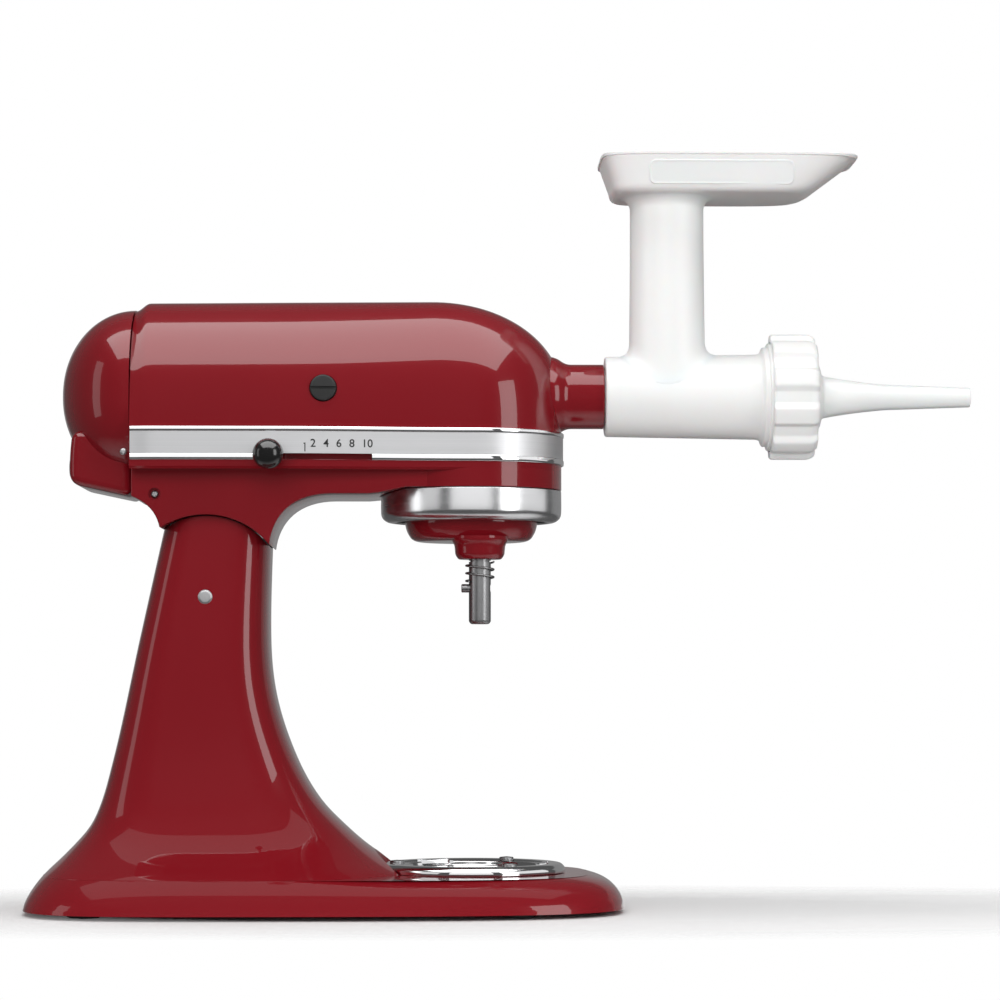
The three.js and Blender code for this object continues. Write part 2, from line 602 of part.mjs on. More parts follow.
const makeBulkhead = () => {
  const [x0, x1] = [-97, -90];
  const wall = loft([x0, x1].map((x) => headRing(x, HEAD.wall + 1, 256.4, 8)));
  const air = [0, 60, 120, 180, 240, 300].map((deg) => {
    const a = THREE.MathUtils.degToRad(deg + 30);
    return rodX(6.5, x0 - 1, x1 + 1, 30 * Math.cos(a), HUB_Z + 30 * Math.sin(a), 10);
  });
  const bearing = rodX(9.8, x0 - 1, x1 + 1, 0, HUB_Z, 24);
  return cut(wall, bearing, box(x0 - 1, x1 + 1, -70, -46, 250, 272), ...air);
};
const makeRearBracket = () => {
  const bar = box(-235, -230.5, -45.5, 45.5, HUB_Z - 7, HUB_Z + 7);
  const ring = rodX(14, -240, -230.5, 0, HUB_Z, 20);
  const legs = [-43.5, 43.5].map((y) => box(-234.8, -212 - GAP, y - 2, y + 2, HUB_Z - 5, HUB_Z + 5));
  return cut(join(bar, ring, ...legs), rodX(9.8, -241, -230, 0, HUB_Z, 20));
};

add("stator_core", makeStator(), laminate);
add("field_coils", makeFieldCoils(), copper);
add("rotor_core", makeRotor(), laminate);
add("armature_shaft", makeArmatureShaft(), steel);
add("commutator", ringX(13, MOTOR.shaftR + GAP, -114, -99), copper);
add("cooling_fan", makeFan(), black);
add("governor", makeGovernor(), brass);
add("front_bearing", ringX(9.4, 5, -96.5, -90.5), steel);
add("rear_bearing", ringX(9.4, MOTOR.shaftR + GAP, -239.6, -231), steel);
add("motor_bulkhead", makeBulkhead(), casting);
add("rear_bearing_bracket", makeRearBracket(), casting);

// Carbon brushes and the screwed caps that let them be changed from outside.
for (const [name, side] of [["right", -1], ["left", 1]]) {
  const span = (a, b) => [Math.min(side * a, side * b), Math.max(side * a, side * b)];
  const block = box(BRUSH_X - 3, BRUSH_X + 3, ...span(13.4, 32), HUB_Z - 4, HUB_Z + 4);
  add(`carbon_brush_${name}`, block, carbon);
  const head = rodY(7.4, ...span(56.5, 62.4), BRUSH_X, HUB_Z, 20);
  const stem = rodY(3.4, ...span(33, 57), BRUSH_X, HUB_Z, 8);
  const slot = box(BRUSH_X - 9, BRUSH_X + 9, ...span(61.2, 64), HUB_Z - 0.7, HUB_Z + 0.7);
  add(`brush_cap_${name}`, cut(join(head, stem), slot), black);
}

// ---------------------------------------------------------------- gear train
// Phases set the teeth in mesh at rest: a tooth of one gear faces a gap of the other.
const toWheel = Math.atan2(WHEEL_Y, WHEEL_X - PLANET_X);
const halfTooth = (teeth) => Math.PI / teeth;

const makeWormWheel = () => {
  const r = (WORM_WHEEL.teeth * WORM_WHEEL.module) / 2;
  const lead = WORM_PITCH / (2 * Math.PI * WORM.pitchR);
  const outline = gearPoints({ ...WORM_WHEEL, phase: -Math.PI / 2, backlash: 0.7 });
  const twist = (3 * lead) / r;
  const blank = gearLoft(outline, [[-3, 1, -twist], [3, 1, twist]]).translate(WHEEL_X, WHEEL_Y, HUB_Z);
  const boss = rodZ(9, HUB_Z - 8, HUB_Z + 6, WHEEL_X, WHEEL_Y, 12);
  return cut(join(blank, boss), rodZ(4.3, 280, 320, WHEEL_X, WHEEL_Y, 16));
};
const makePinionShaft = () => {
  const outline = gearPoints({ ...DRIVE_PINION, phase: toWheel + Math.PI, backlash: 0.35 });
  const teeth = slabXY(new THREE.Shape(at(outline, WHEEL_X, WHEEL_Y)), 261.5, 271.5);
  return join(teeth, rodZ(4, 256.8, 314, WHEEL_X, WHEEL_Y, 16));
};
const makeTransmissionPlate = () => {
  const shape = new THREE.Shape();
  shape.moveTo(-80, -50);
  shape.lineTo(-18, -46);
  shape.absarc(PLANET_X, 0, 46, -Math.PI / 2, Math.PI / 2, false);
  shape.lineTo(-80, 50);
  const plate = slabXY(shape, 256.4, 260, 16);
  const bushBoss = rodZ(10, 256.4, 261.2, WHEEL_X, WHEEL_Y, 16);
  const shaftWay = rodZ(14, 250, 265, PLANET_X, 0, 24);
  return cut(join(plate, bushBoss), shaftWay, rodZ(4.3, 250, 265, WHEEL_X, WHEEL_Y, 16));
};
const makeCentreBevel = () => {
  const { centreTeeth, hubTeeth, module, faceShare } = BEVEL;
  const drop = (hubTeeth * module) / 2;
  const spec = { teeth: centreTeeth, module, pressure: 12, addendum: 0.85, dedendum: 1.3, backlash: 0.5 };
  const sections = [[-drop, 1, 0], [-drop * faceShare, faceShare, 0]];
  const teeth = gearLoft(gearPoints({ ...spec, phase: 0 }), sections);
  const hub = rodZ(15, 272.6, HUB_Z - drop + 0.5, PLANET_X, 0, 16);
  return cut(join(teeth.translate(PLANET_X, 0, HUB_Z), hub), rodZ(6.8, 260, 300, PLANET_X, 0, 20));
};
const makeHubShaft = () => {
  const { centreTeeth, hubTeeth, module, faceShare } = BEVEL;
  const reach = (centreTeeth * module) / 2;
  const spec = { teeth: hubTeeth, module, pressure: 17, addendum: 0.6, dedendum: 1.05, backlash: 0.5 };
  // lofted along Z, then turned so that its axis lies along X; a gap faces down to the centre bevel
  const outline = gearPoints({ ...spec, phase: halfTooth(hubTeeth) });
  const teeth = gearLoft(outline, [[reach * faceShare, faceShare, 0], [reach, 1, 0]]).rotateY(Math.PI / 2);
  const shaft = rodX(11.1, PLANET_X + reach - 0.5, 33.2, 0, HUB_Z, 20);
  const body = join(teeth.translate(PLANET_X, 0, HUB_Z), shaft);
  return cut(body, box(12, 34, -5.1, 5.1, HUB_Z - 5.1, HUB_Z + 5.1));
};

add("worm_wheel", makeWormWheel(), brass);
add("pinion_shaft", makePinionShaft(), steel);
add("transmission_plate", makeTransmissionPlate(), casting);
const centreGear = { ...CENTRE_GEAR, phase: toWheel + halfTooth(CENTRE_GEAR.teeth) };
add("centre_gear", spurGear(centreGear, PLANET_X, 0, 262, 271, 6.8), steel);
add("centre_bevel", makeCentreBevel(), steel);
add("centre_shaft", rodZ(6.4, 217, 330, PLANET_X, 0, 20), steel);
add("hub_shaft", makeHubShaft(), steel);

// ---------------------------------------------------------------- planetary and beater shaft
const makeLowerGearcase = () => {
  const profile = [[7.1, 239], [45.3, 239], [45.3, 229.4], [48.4, 229.4], [48.4, 250]];
  profile.push([14, 250], [14, 255], [7.1, 255], [7.1, 239]);
  return turnedZ(profile, PLANET_X, 0, 28);
};
const makeRingGear = () => {
  const shape = new THREE.Shape(roundHole(0, 0, 44.6, 28).getPoints());
  const space = { ...RING_GEAR, phase: BEATER_ANGLE, addendum: 1.15, dedendum: 0.75, backlash: -0.35 };
  shape.holes.push(new THREE.Path(gearPoints(space)));
  return slabXY(shape, 229.6, 238.6).translate(PLANET_X, 0, 0);
};
const makeDripRing = () => {
  const { low, high } = RING;
  const lip = new THREE.QuadraticBezierCurve(
    new THREE.Vector2(52.8, low + 2),
    new THREE.Vector2(52.6, low - 2.4),
    new THREE.Vector2(44.6, low - 2.4),
  ).getPoints(3);
  const profile = [[49.2, high], [52.8, high], ...lip.map((p) => [p.x, p.y])];
  profile.push([44.6, low - 0.8], [50.6, low + 2.4], [50.6, high - 3], [49.2, high]);
  return turnedZ(profile, PLANET_X, 0, 36);
};
const makePlanetary = () => {
  const rim = new THREE.QuadraticBezierCurve(
    new THREE.Vector2(39, 222.5),
    new THREE.Vector2(38.6, 213.4),
    new THREE.Vector2(28, 213.4),
  ).getPoints(4);
  const profile = [[0, 227.6], [39, 227.6], ...rim.map((p) => [p.x, p.y]), [0, 213.4]];
  const hub = rodZ(10.5, 227, 238, PLANET_X, 0, 16);
  const nose = [[0, 202.6], [12.6, 202.6], [14.2, 204.4], [14.6, 214], [0, 214]];
  const boss = turnedZ(nose, BEATER.x, BEATER.y, 20);
  const body = join(turnedZ(profile, PLANET_X, 0, 28), hub, boss);
  return cut(body, rodZ(6.8, 216.6, 240, PLANET_X, 0, 20), rodZ(6.8, 200, 240, BEATER.x, BEATER.y, 18));
};
const makeBeaterShaft = () => {
  const profile = [[0, 165.3], [5.4, 165.3], [6.35, 166.4], [6.35, 238.6], [0, 238.6]];
  const hole = rodX(2.5, BEATER.x - 9, BEATER.x + 9, BEATER.y, 186, 12);
  return cut(turnedZ(profile, BEATER.x, BEATER.y, 18), hole);
};
const makeBeaterSpring = () => {
  const [turns, low, high, r] = [3.2, 189.8, 201.4, 8];
  const points = Array.from({ length: 46 }, (_, i) => {
    const a = (2 * Math.PI * turns * i) / 45;
    const z = lerp(high, low, i / 45);
    return new THREE.Vector3(BEATER.x + r * Math.cos(a), BEATER.y + r * Math.sin(a), z);
  });
  const wire = new THREE.Shape(roundHole(0, 0, 0.6, 5).getPoints());
  return new THREE.ExtrudeGeometry(wire, { steps: 36, extrudePath: new THREE.CatmullRomCurve3(points) });
};

add("lower_gearcase", makeLowerGearcase(), casting);
add("ring_gear", makeRingGear(), steel);
add("drip_ring", makeDripRing(), chrome);
add("planetary", makePlanetary(), paint);
const planetSpec = { ...PLANET_PINION, phase: BEATER_ANGLE, addendum: 0.8, backlash: 0.35 };
add("planet_pinion", spurGear(planetSpec, BEATER.x, BEATER.y, 230, 238.2, 6.75), steel);
add("beater_shaft", makeBeaterShaft(), steel);
add("beater_pin", rodX(2.15, BEATER.x - 12, BEATER.x + 6, BEATER.y, 186, 12), steel);
add("beater_spring", makeBeaterSpring(), steel);

// ---------------------------------------------------------------- levers and hub knob
const SPEED = { x: -133.3, z: 260 };
const makeSpeedLever = () => {
  const arm = box(SPEED.x - 3, SPEED.x + 3, -73, -50.4, 258.9, 261);
  return join(arm, box(-205, -127, -53, -50.4, 260.6, 266));
};
const makeLockLever = () => {
  const arm = box(LOCK.x - 2.6, LOCK.x + 2.6, 36, 60, LOCK.z - 1.4, LOCK.z + 1.4);
  return join(arm, box(LOCK.x - 3, LOCK.x + 10, 30, 38, 244.2, 251));
};
const makeKnob = (r, x, y0, side, z, socketR) => {
  const profile = [[0, 0], [r * 0.45, 0], [r * 0.6, 2]];
  for (let i = 0; i <= 6; i++) {
    const a = lerp(-0.7, Math.PI / 2, i / 6);
    profile.push([r * Math.cos(a) * (i === 6 ? 0 : 1), 2 + r * 0.65 + r * 0.95 * Math.sin(a)]);
  }
  const ball = turnedY(profile, 16);
  const placed = side < 0 ? ball.rotateZ(Math.PI) : ball;
  const socket = rodY(socketR, Math.min(y0, y0 + side * 6), Math.max(y0, y0 + side * 6), x, z, 8);
  return cut(placed.translate(x, y0, z), socket);
};
const makeHubKnob = () => {
  const profile = [[0, 16.6], [2.8, 16.6], [2.8, 22], [7, 22.4], [9.5, 25], [9.5, 31], [8, 34], [0, 34.6]];
  const flutes = Array.from({ length: 6 }, (_, i) => {
    const a = (2 * Math.PI * i) / 6;
    return rodY(2.4, 24, 36, 10.6 * Math.cos(a), 10.6 * Math.sin(a), 6);
  });
  return cut(turnedY(profile, 18), ...flutes).translate(47, 0, HUB_Z);
};

add("speed_lever", makeSpeedLever(), steel);
add("speed_knob", makeKnob(8.8, SPEED.x, -69.5, -1, SPEED.z + 0.3, 3.9), black);
add("lock_lever", makeLockLever(), steel);
add("lock_knob", makeKnob(6.7, LOCK.x, 56.5, 1, LOCK.z, 3.4), black);
add("hub_knob", makeHubKnob(), black);

// ---------------------------------------------------------------- grinding attachment
const THREAD = { rimR: 31.6, lipR: 29.2 };
const makeGrinderBody = () => {
  const { start, end, rear, front, bore } = BARREL;
  const outer = [[0, 33.8], [15.4, 33.8], [15.9, 35], [15.9, start], [rear, start], [front, 151.5]];
  outer.push([THREAD.lipR, 152.4], [THREAD.lipR, 155.2], [THREAD.rimR, 155.8], [THREAD.rimR, 158.6]);
  outer.push([29.6, 159.4], [29.6, 170.5], [0, 170.5]);
  const tube = [[0, HUB_Z], [FEED.r + 0.6, HUB_Z], [FEED.r, 330], [FEED.r, FEED.top - 6]];
  tube.push([FEED.r + 1, FEED.top - 2.5], [FEED.r + 3.6, FEED.top], [0, FEED.top]);
  const tower = turnedZ(tube, FEED.x, 0, 20);
  let body = join(turnedX(outer, 0, HUB_Z, 28), tower);
  body = cut(
    body,
    rodX(bore, 68, end + 3, 0, HUB_Z, 20),
    rodX(28, end + 2.8, 172, 0, HUB_Z, 20),
    rodX(8.2, 30, 70, 0, HUB_Z, 14),
    rodZ(FEED.r - FEED.wall, HUB_Z + 6, FEED.top + 1, FEED.x, 0, 16),
  );
  return body;
};

// Helical flight on a tapered core; its square tail is driven by the hub shaft.
const makeAuger = () => {
  const spine = [[0, 58], [7.7, 58], [7.7, 68.4], [10.5, 68.6], [7.5, 150], [7.5, 162.6], [0, 162.6]];
  const core = turnedX(spine, 0, HUB_Z, 14);
  const flight = helixRidge({
    x0: 71,
    x1: 158,
    pitch: 24,
    rootR: 6,
    tipR: 19.3,
    rootHalf: 2.2,
    tipHalf: 1.1,
    stepsPerTurn: 12,
    hand: -1,
  });
  const tail = box(14, 59, -4.7, 4.7, HUB_Z - 4.7, HUB_Z + 4.7);
  const spigot = join(box(162, 167.6, -4, 4, HUB_Z - 4, HUB_Z + 4), rodX(3.6, 167, 175, 0, HUB_Z, 12));
  return join(core, flight.translate(0, 0, HUB_Z), tail, spigot);
};
const makeKnife = () => {
  const arm = (i) => box(163.2, 167.6, -3.6, 3.6, -25, 25).rotateX((Math.PI / 2) * i);
  const arms = [0, 1].map((i) => arm(i).translate(0, 0, HUB_Z));
  const body = join(rodX(9, 163.2, 167.6, 0, HUB_Z, 20), ...arms);
  return cut(body, box(160, 170, -4.35, 4.35, HUB_Z - 4.35, HUB_Z + 4.35));
};
const makeGrindingPlate = () => {
  const shape = new THREE.Shape(roundHole(0, 0, 27.3, 28).getPoints());
  shape.holes.push(roundHole(0, 0, 4, 12));
  for (const [ring, count] of [[11, 6], [20.5, 10]]) {
    for (let i = 0; i < count; i++) {
      const a = (2 * Math.PI * i) / count;
      shape.holes.push(roundHole(ring * Math.cos(a), ring * Math.sin(a), 3.5, 6));
    }
  }
  const plate = new THREE.ExtrudeGeometry(shape, { depth: 4.4, bevelEnabled: false });
  return plate.rotateY(Math.PI / 2).translate(167.9, 0, HUB_Z);
};
const makeRingNut = () => {
  const points = [];
  for (let i = 0; i < NUT.lobes; i++) {
    for (const [turn, r] of [[0, NUT.r], [0.24, NUT.r], [0.42, NUT.r - 2.6], [0.82, NUT.r - 2.6]]) {
      const a = (2 * Math.PI * (i + turn - 0.11)) / NUT.lobes;
      points.push(new THREE.Vector2(r * Math.cos(a), r * Math.sin(a)));
    }
  }
  const outline = [[NUT.start, 1], [NUT.end - 3, 1], [NUT.end, 0.94]];
  const ring = (x, scale) => points.map((p) => new THREE.Vector3(x, p.y * scale, HUB_Z + p.x * scale));
  return cut(
    loft(outline.map(([x, scale]) => ring(x, scale))),
    rodX(32.3, NUT.start - 1, 160, 0, HUB_Z, 28),
    rodX(30.3, 159, 179, 0, HUB_Z, 28),
    rodX(22.8, 178, NUT.end + 1, 0, HUB_Z, 20),
  );
};
// Stuffing tube: a wide flange that the nut holds, then a flare that runs out into a long slim nozzle.
const makeStufferTube = () => {
  const flare = new THREE.QuadraticBezierCurve(
    new THREE.Vector2(12.6, 186),
    new THREE.Vector2(8.2, 213),
    new THREE.Vector2(7.5, 223),
  ).getPoints(4);
  const inside = new THREE.QuadraticBezierCurve(
    new THREE.Vector2(6.4, 223),
    new THREE.Vector2(7, 213),
    new THREE.Vector2(11, 186),
  ).getPoints(2);
  const profile = [[18, 172.8], [29.6, 172.8], [29.6, 178.6], [22, 178.6], [20.6, 184.2]];
  profile.push(...flare.map((p) => [p.x, p.y]));
  profile.push([5.7, NOZZLE_END], [4.7, NOZZLE_END]);
  profile.push(...inside.map((p) => [p.x, p.y]), [18, 177], [18, 172.8]);
  return turnedX(profile, 0, HUB_Z, 20);
};

// Shallow tray with a long sloping end; a spigot under its floor plugs into the feed tube.
const TRAY_RINGS = [
  { z: TRAY.floor, back: 68, front: 171, halfWidth: 31 },
  { z: TRAY.floor + 1.6, back: 65.6, front: 178, halfWidth: 34.5 },
  { z: TRAY.floor + 5, back: 63.6, front: 184, halfWidth: 37 },
  { z: TRAY.rim, back: 57.6, front: 207.6, halfWidth: 42 },
];
const trayRing = ({ z, back, front, halfWidth }, inset, lift) =>
  roundedRing(z + lift, back + inset, front - inset, halfWidth - inset, 6, 5, 115, 24);
const makeTray = () => {
  const shell = loft(TRAY_RINGS.map((r) => trayRing(r, 0, 0)));
  const hollow = loft([
    trayRing(TRAY_RINGS[0], 2.4, 2.4),
    trayRing(TRAY_RINGS[2], 2.4, 2.4),
    trayRing(TRAY_RINGS[3], 2.2, 0.6),
  ]);
  const bore = FEED.r - FEED.wall;
  const spigot = rodZ(bore - 2 * GAP, 400, TRAY.floor + 1, FEED.x, 0, 20);
  const swollen = loft(TRAY_RINGS.map((r) => trayRing(r, -0.9, 0)));
  const badge = common(swollen, box(85, 168.5, -60, -20, 419, 431));
  const body = cut(join(shell, spigot, badge), hollow);
  return cut(body, rodZ(bore - 2 * GAP - 1.8, 399, 425, FEED.x, 0, 20));
};

add("grinder_body", makeGrinderBody(), white);
add("hopper_tray", makeTray(), white);
add("auger", makeAuger(), white);
add("knife", makeKnife(), steel);
add("grinding_plate", makeGrindingPlate(), steel);
add("ring_nut", makeRingNut(), white);
add("stuffer_tube", makeStufferTube(), white);

export default machine;
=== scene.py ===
"""Electric meat grinder: enamelled tilt-head machine with a white grinding and stuffing attachment.

Lengths are written in millimetres and become metres when a mesh is made. +X runs towards the nozzle,
+Z is up, and the speed lever is on the -Y side.
"""
import json
import math
import bpy
from mathutils import Matrix, Vector

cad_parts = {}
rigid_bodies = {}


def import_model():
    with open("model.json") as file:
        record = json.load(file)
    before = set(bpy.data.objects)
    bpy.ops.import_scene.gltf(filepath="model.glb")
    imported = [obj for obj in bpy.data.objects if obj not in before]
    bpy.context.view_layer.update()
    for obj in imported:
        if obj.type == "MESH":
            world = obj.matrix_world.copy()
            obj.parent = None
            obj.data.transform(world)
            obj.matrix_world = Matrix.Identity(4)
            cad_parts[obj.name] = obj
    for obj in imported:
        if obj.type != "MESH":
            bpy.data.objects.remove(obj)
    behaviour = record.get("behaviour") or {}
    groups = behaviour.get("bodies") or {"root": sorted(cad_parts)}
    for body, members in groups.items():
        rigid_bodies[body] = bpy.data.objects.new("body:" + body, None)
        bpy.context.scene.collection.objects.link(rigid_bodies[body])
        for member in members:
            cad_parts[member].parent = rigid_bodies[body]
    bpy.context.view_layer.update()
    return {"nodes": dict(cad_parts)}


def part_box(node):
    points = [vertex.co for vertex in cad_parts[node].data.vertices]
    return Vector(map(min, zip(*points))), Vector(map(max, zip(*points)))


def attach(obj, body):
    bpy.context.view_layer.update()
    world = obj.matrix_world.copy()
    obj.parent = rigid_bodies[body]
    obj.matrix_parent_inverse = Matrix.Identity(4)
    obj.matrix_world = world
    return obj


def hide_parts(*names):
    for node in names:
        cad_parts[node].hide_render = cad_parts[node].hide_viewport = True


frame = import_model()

MM = 0.001

# ------------------------------------------------------------------ places, from the frame
def low(node):
    return Vector(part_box(node)[0]) / MM


def high(node):
    return Vector(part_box(node)[1]) / MM


def centre(node):
    return (low(node) + high(node)) / 2


HUB_Z = centre("stuffer_tube").z
PLANET_X = centre("drip_ring").x
PIVOT = centre("hinge_pin")
SEAM_X = low("head_casing").x
DECK = high("base_casting").z
SKIRT, SHOULDER = 253.0, 277.0  # bottom of the upper shell, and where its flanks start to lean in
HALF_WIDTH, NOSE_R = 62.0, 52.8
BAND_LOW, BAND_HIGH = low("trim_band").z, high("trim_band").z
RING_HIGH = high("drip_ring").z
UNDER_HALF, UNDER_Z = 46.0, 239.7
CAP_X = -103  # station of the brush caps
SADDLE_R = 46.5
FEED_X, FEED_R = 97.0, 21.6
BARREL_START = high("head_casing").x + 0.6
TRAY_FLOOR, TRAY_RIM = 416.0, high("hopper_tray").z
BEATER = centre("beater_shaft")


# ------------------------------------------------------------------ small modelling kit
def mix(a, b, t):
    return a + (b - a) * t


def ease(t):
    t = min(1.0, max(0.0, t))
    return t * t * (3 - 2 * t)


def curve_value(pairs, s):
    """Smooth curve through [station, value] pairs."""
    s = min(max(s, pairs[0][0]), pairs[-1][0])
    k = next(i for i in range(1, len(pairs)) if s <= pairs[i][0])

    def slope(i):
        (s0, v0), (s1, v1) = pairs[max(i - 1, 0)], pairs[min(i + 1, len(pairs) - 1)]
        return (v1 - v0) / (s1 - s0)

    (s0, v0), (s1, v1) = pairs[k - 1], pairs[k]
    h = s1 - s0
    t = (s - s0) / h
    a, b = slope(k - 1) * h, slope(k) * h
    return v0 + t * (a + t * (3 * (v1 - v0) - 2 * a - b + t * (a + b - 2 * (v1 - v0))))


def faired(pairs, s, reach=5.0):
    """The same curve with its bends evened out, so that a glossy surface reflects cleanly."""
    weights = (1, 3, 4, 3, 1)
    values = [curve_value(pairs, s + reach * (i - 2) / 2) for i in range(5)]
    return sum(w * v for w, v in zip(weights, values)) / sum(weights)


def power(value, exponent):
    return math.copysign(abs(value) ** exponent, value)


def deselect():
    if bpy.context.object and bpy.context.object.mode != "OBJECT":
        bpy.ops.object.mode_set(mode="OBJECT")
    bpy.ops.object.select_all(action="DESELECT")


def pick(piece):
    deselect()
    piece.select_set(True)
    bpy.context.view_layer.objects.active = piece
    return piece


def modify(piece, kind, **settings):
    """Adds a modifier and applies it."""
    pick(piece)
    modifier = piece.modifiers.new(kind.title(), kind)
    for key, value in settings.items():
        setattr(modifier, key, value)
    bpy.ops.object.modifier_apply(modifier=modifier.name)
    return piece


def tidy(piece, merge=0.01):
    """Merges doubled corners and turns the faces outwards."""
    pick(piece)
    bpy.ops.object.mode_set(mode="EDIT")
    bpy.ops.mesh.select_all(action="SELECT")
    bpy.ops.mesh.remove_doubles(threshold=merge * MM)
    bpy.ops.mesh.normals_make_consistent(inside=False)
    bpy.ops.object.mode_set(mode="OBJECT")
    return piece


def smooth(piece, angle=32):
    pick(piece)
    bpy.ops.object.shade_smooth_by_angle(angle=math.radians(angle))
    return piece


def settle(piece):
    pick(piece)
    bpy.ops.object.transform_apply(location=True, rotation=True, scale=True)
    return piece


def mesh_piece(name, corners, edges=(), faces=()):
    data = bpy.data.meshes.new(name)
    data.from_pydata([tuple(c * MM for c in corner) for corner in corners], list(edges), list(faces))
    piece = bpy.data.objects.new(name, data)
    bpy.context.scene.collection.objects.link(piece)
    return piece


def skin(name, rings, capped=True, looped=False):
    """Closed surface over a stack of rings that all have the same number of corners."""
    count = len(rings[0])
    corners = [corner for ring in rings for corner in ring]
    faces = []
    for r in range(len(rings) if looped else len(rings) - 1):
        a, b = r * count, ((r + 1) % len(rings)) * count
        faces += [(a + i, a + (i + 1) % count, b + (i + 1) % count, b + i) for i in range(count)]
    if capped and not looped:
        faces += [tuple(range(count))[::-1], tuple(range(len(corners) - count, len(corners)))]
    return tidy(mesh_piece(name, corners, (), faces))


def rounded(corners, steps=5):
    """Polyline from (a, b, fillet radius) corners, each filleted where its radius isn't zero."""
    line = []
    for i, (a, b, r) in enumerate(corners):
        here = Vector((a, b))
        if not r or i in (0, len(corners) - 1):
            line.append((a, b))
            continue
        before = Vector(corners[i - 1][:2]) - here
        after = Vector(corners[i + 1][:2]) - here
        start = here + before.normalized() * min(r, before.length * 0.49)
        end = here + after.normalized() * min(r, after.length * 0.49)
        for k in range(steps + 1):
            t = k / steps
            point = start * (1 - t) ** 2 + here * 2 * t * (1 - t) + end * t ** 2
            line.append((point.x, point.y))
    return line


def turned(name, corners, at, axis="Z", steps=96, fillet_steps=5):
    """Turns a profile of (radius, station, fillet) corners round an axis through a point."""
    line = rounded(corners, fillet_steps)
    edges = [(i, i + 1) for i in range(len(line) - 1)]
    piece = mesh_piece(name, [(r, 0, s) for r, s in line], edges)
    modify(piece, "SCREW", steps=steps, render_steps=steps, use_merge_vertices=True, merge_threshold=1e-6,
           use_smooth_shade=True)
    tidy(piece)
    spin = {"Z": (0, 0, 0), "X": (0, math.pi / 2, 0), "Y": (-math.pi / 2, 0, 0)}[axis]
    piece.rotation_euler = spin
    piece.location = Vector(at) * MM
    return smooth(settle(piece))


def rod(name, radius, start, end, at, axis="Z", edge=0.3, steps=48):
    corners = [(0, start, 0), (radius, start, edge), (radius, end, edge), (0, end, 0)]
    return turned(name, corners, at, axis, steps, 3)


def block(name, corner, opposite, edge=0.0, segments=3):
    """A box between two corners, with its edges rounded."""
    deselect()
    a, b = Vector(corner) * MM, Vector(opposite) * MM
    bpy.ops.mesh.primitive_cube_add(size=1, location=(a + b) / 2)
    piece = bpy.context.object
    piece.name = piece.data.name = name
    piece.scale = b - a
    settle(piece)
    if edge:
        modify(piece, "BEVEL", width=edge * MM, segments=segments, limit_method="NONE")
    return smooth(piece)


def carve(piece, *tools, operation="DIFFERENCE"):
    for tool in tools:
        modify(piece, "BOOLEAN", operation=operation, object=tool, solver="EXACT")
        bpy.data.objects.remove(tool)
    return piece


def soften(piece, width, angle=38, segments=2):
    """Rounds the sharp edges that cutting leaves."""
    modify(piece, "BEVEL", width=width * MM, segments=segments, limit_method="ANGLE",
           angle_limit=math.radians(angle), use_clamp_overlap=True, harden_normals=False)
    return piece


def together(name, *parts):
    deselect()
    for part in parts:
        part.select_set(True)
    bpy.context.view_layer.objects.active = parts[0]
    bpy.ops.object.join()
    piece = bpy.context.object
    piece.name = piece.data.name = name
    return piece


def paint(piece, material):
    piece.data.materials.clear()
    piece.data.materials.append(material)
    return piece


def place(piece, body, material, slot, *nodes):
    paint(piece, material)
    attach(piece, body)
    if nodes:
        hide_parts(*nodes)
    return piece


# ------------------------------------------------------------------ materials
class Value:
    """A number that changes over a surface, so that shader maths reads as arithmetic."""

    def __init__(self, finish, socket):
        self.finish = finish
        self.socket = socket

    def maths(self, operation, *operands, clamp=False):
        settings = {"operation": operation, "use_clamp": clamp}
        return self.finish.node("ShaderNodeMath", settings, dict(enumerate(operands)))

    def __add__(self, other):
        return self.maths("ADD", self, other)

    __radd__ = __add__

    def __sub__(self, other):
        return self.maths("SUBTRACT", self, other)

    def __rsub__(self, other):
        return self.maths("SUBTRACT", other, self)

    def __mul__(self, other):
        return self.maths("MULTIPLY", self, other)

    __rmul__ = __mul__

    def sharpened(self, start, end):
        """0 below start, 1 above end."""
        return self.maths("MULTIPLY", self - start, 1 / (end - start), clamp=True)


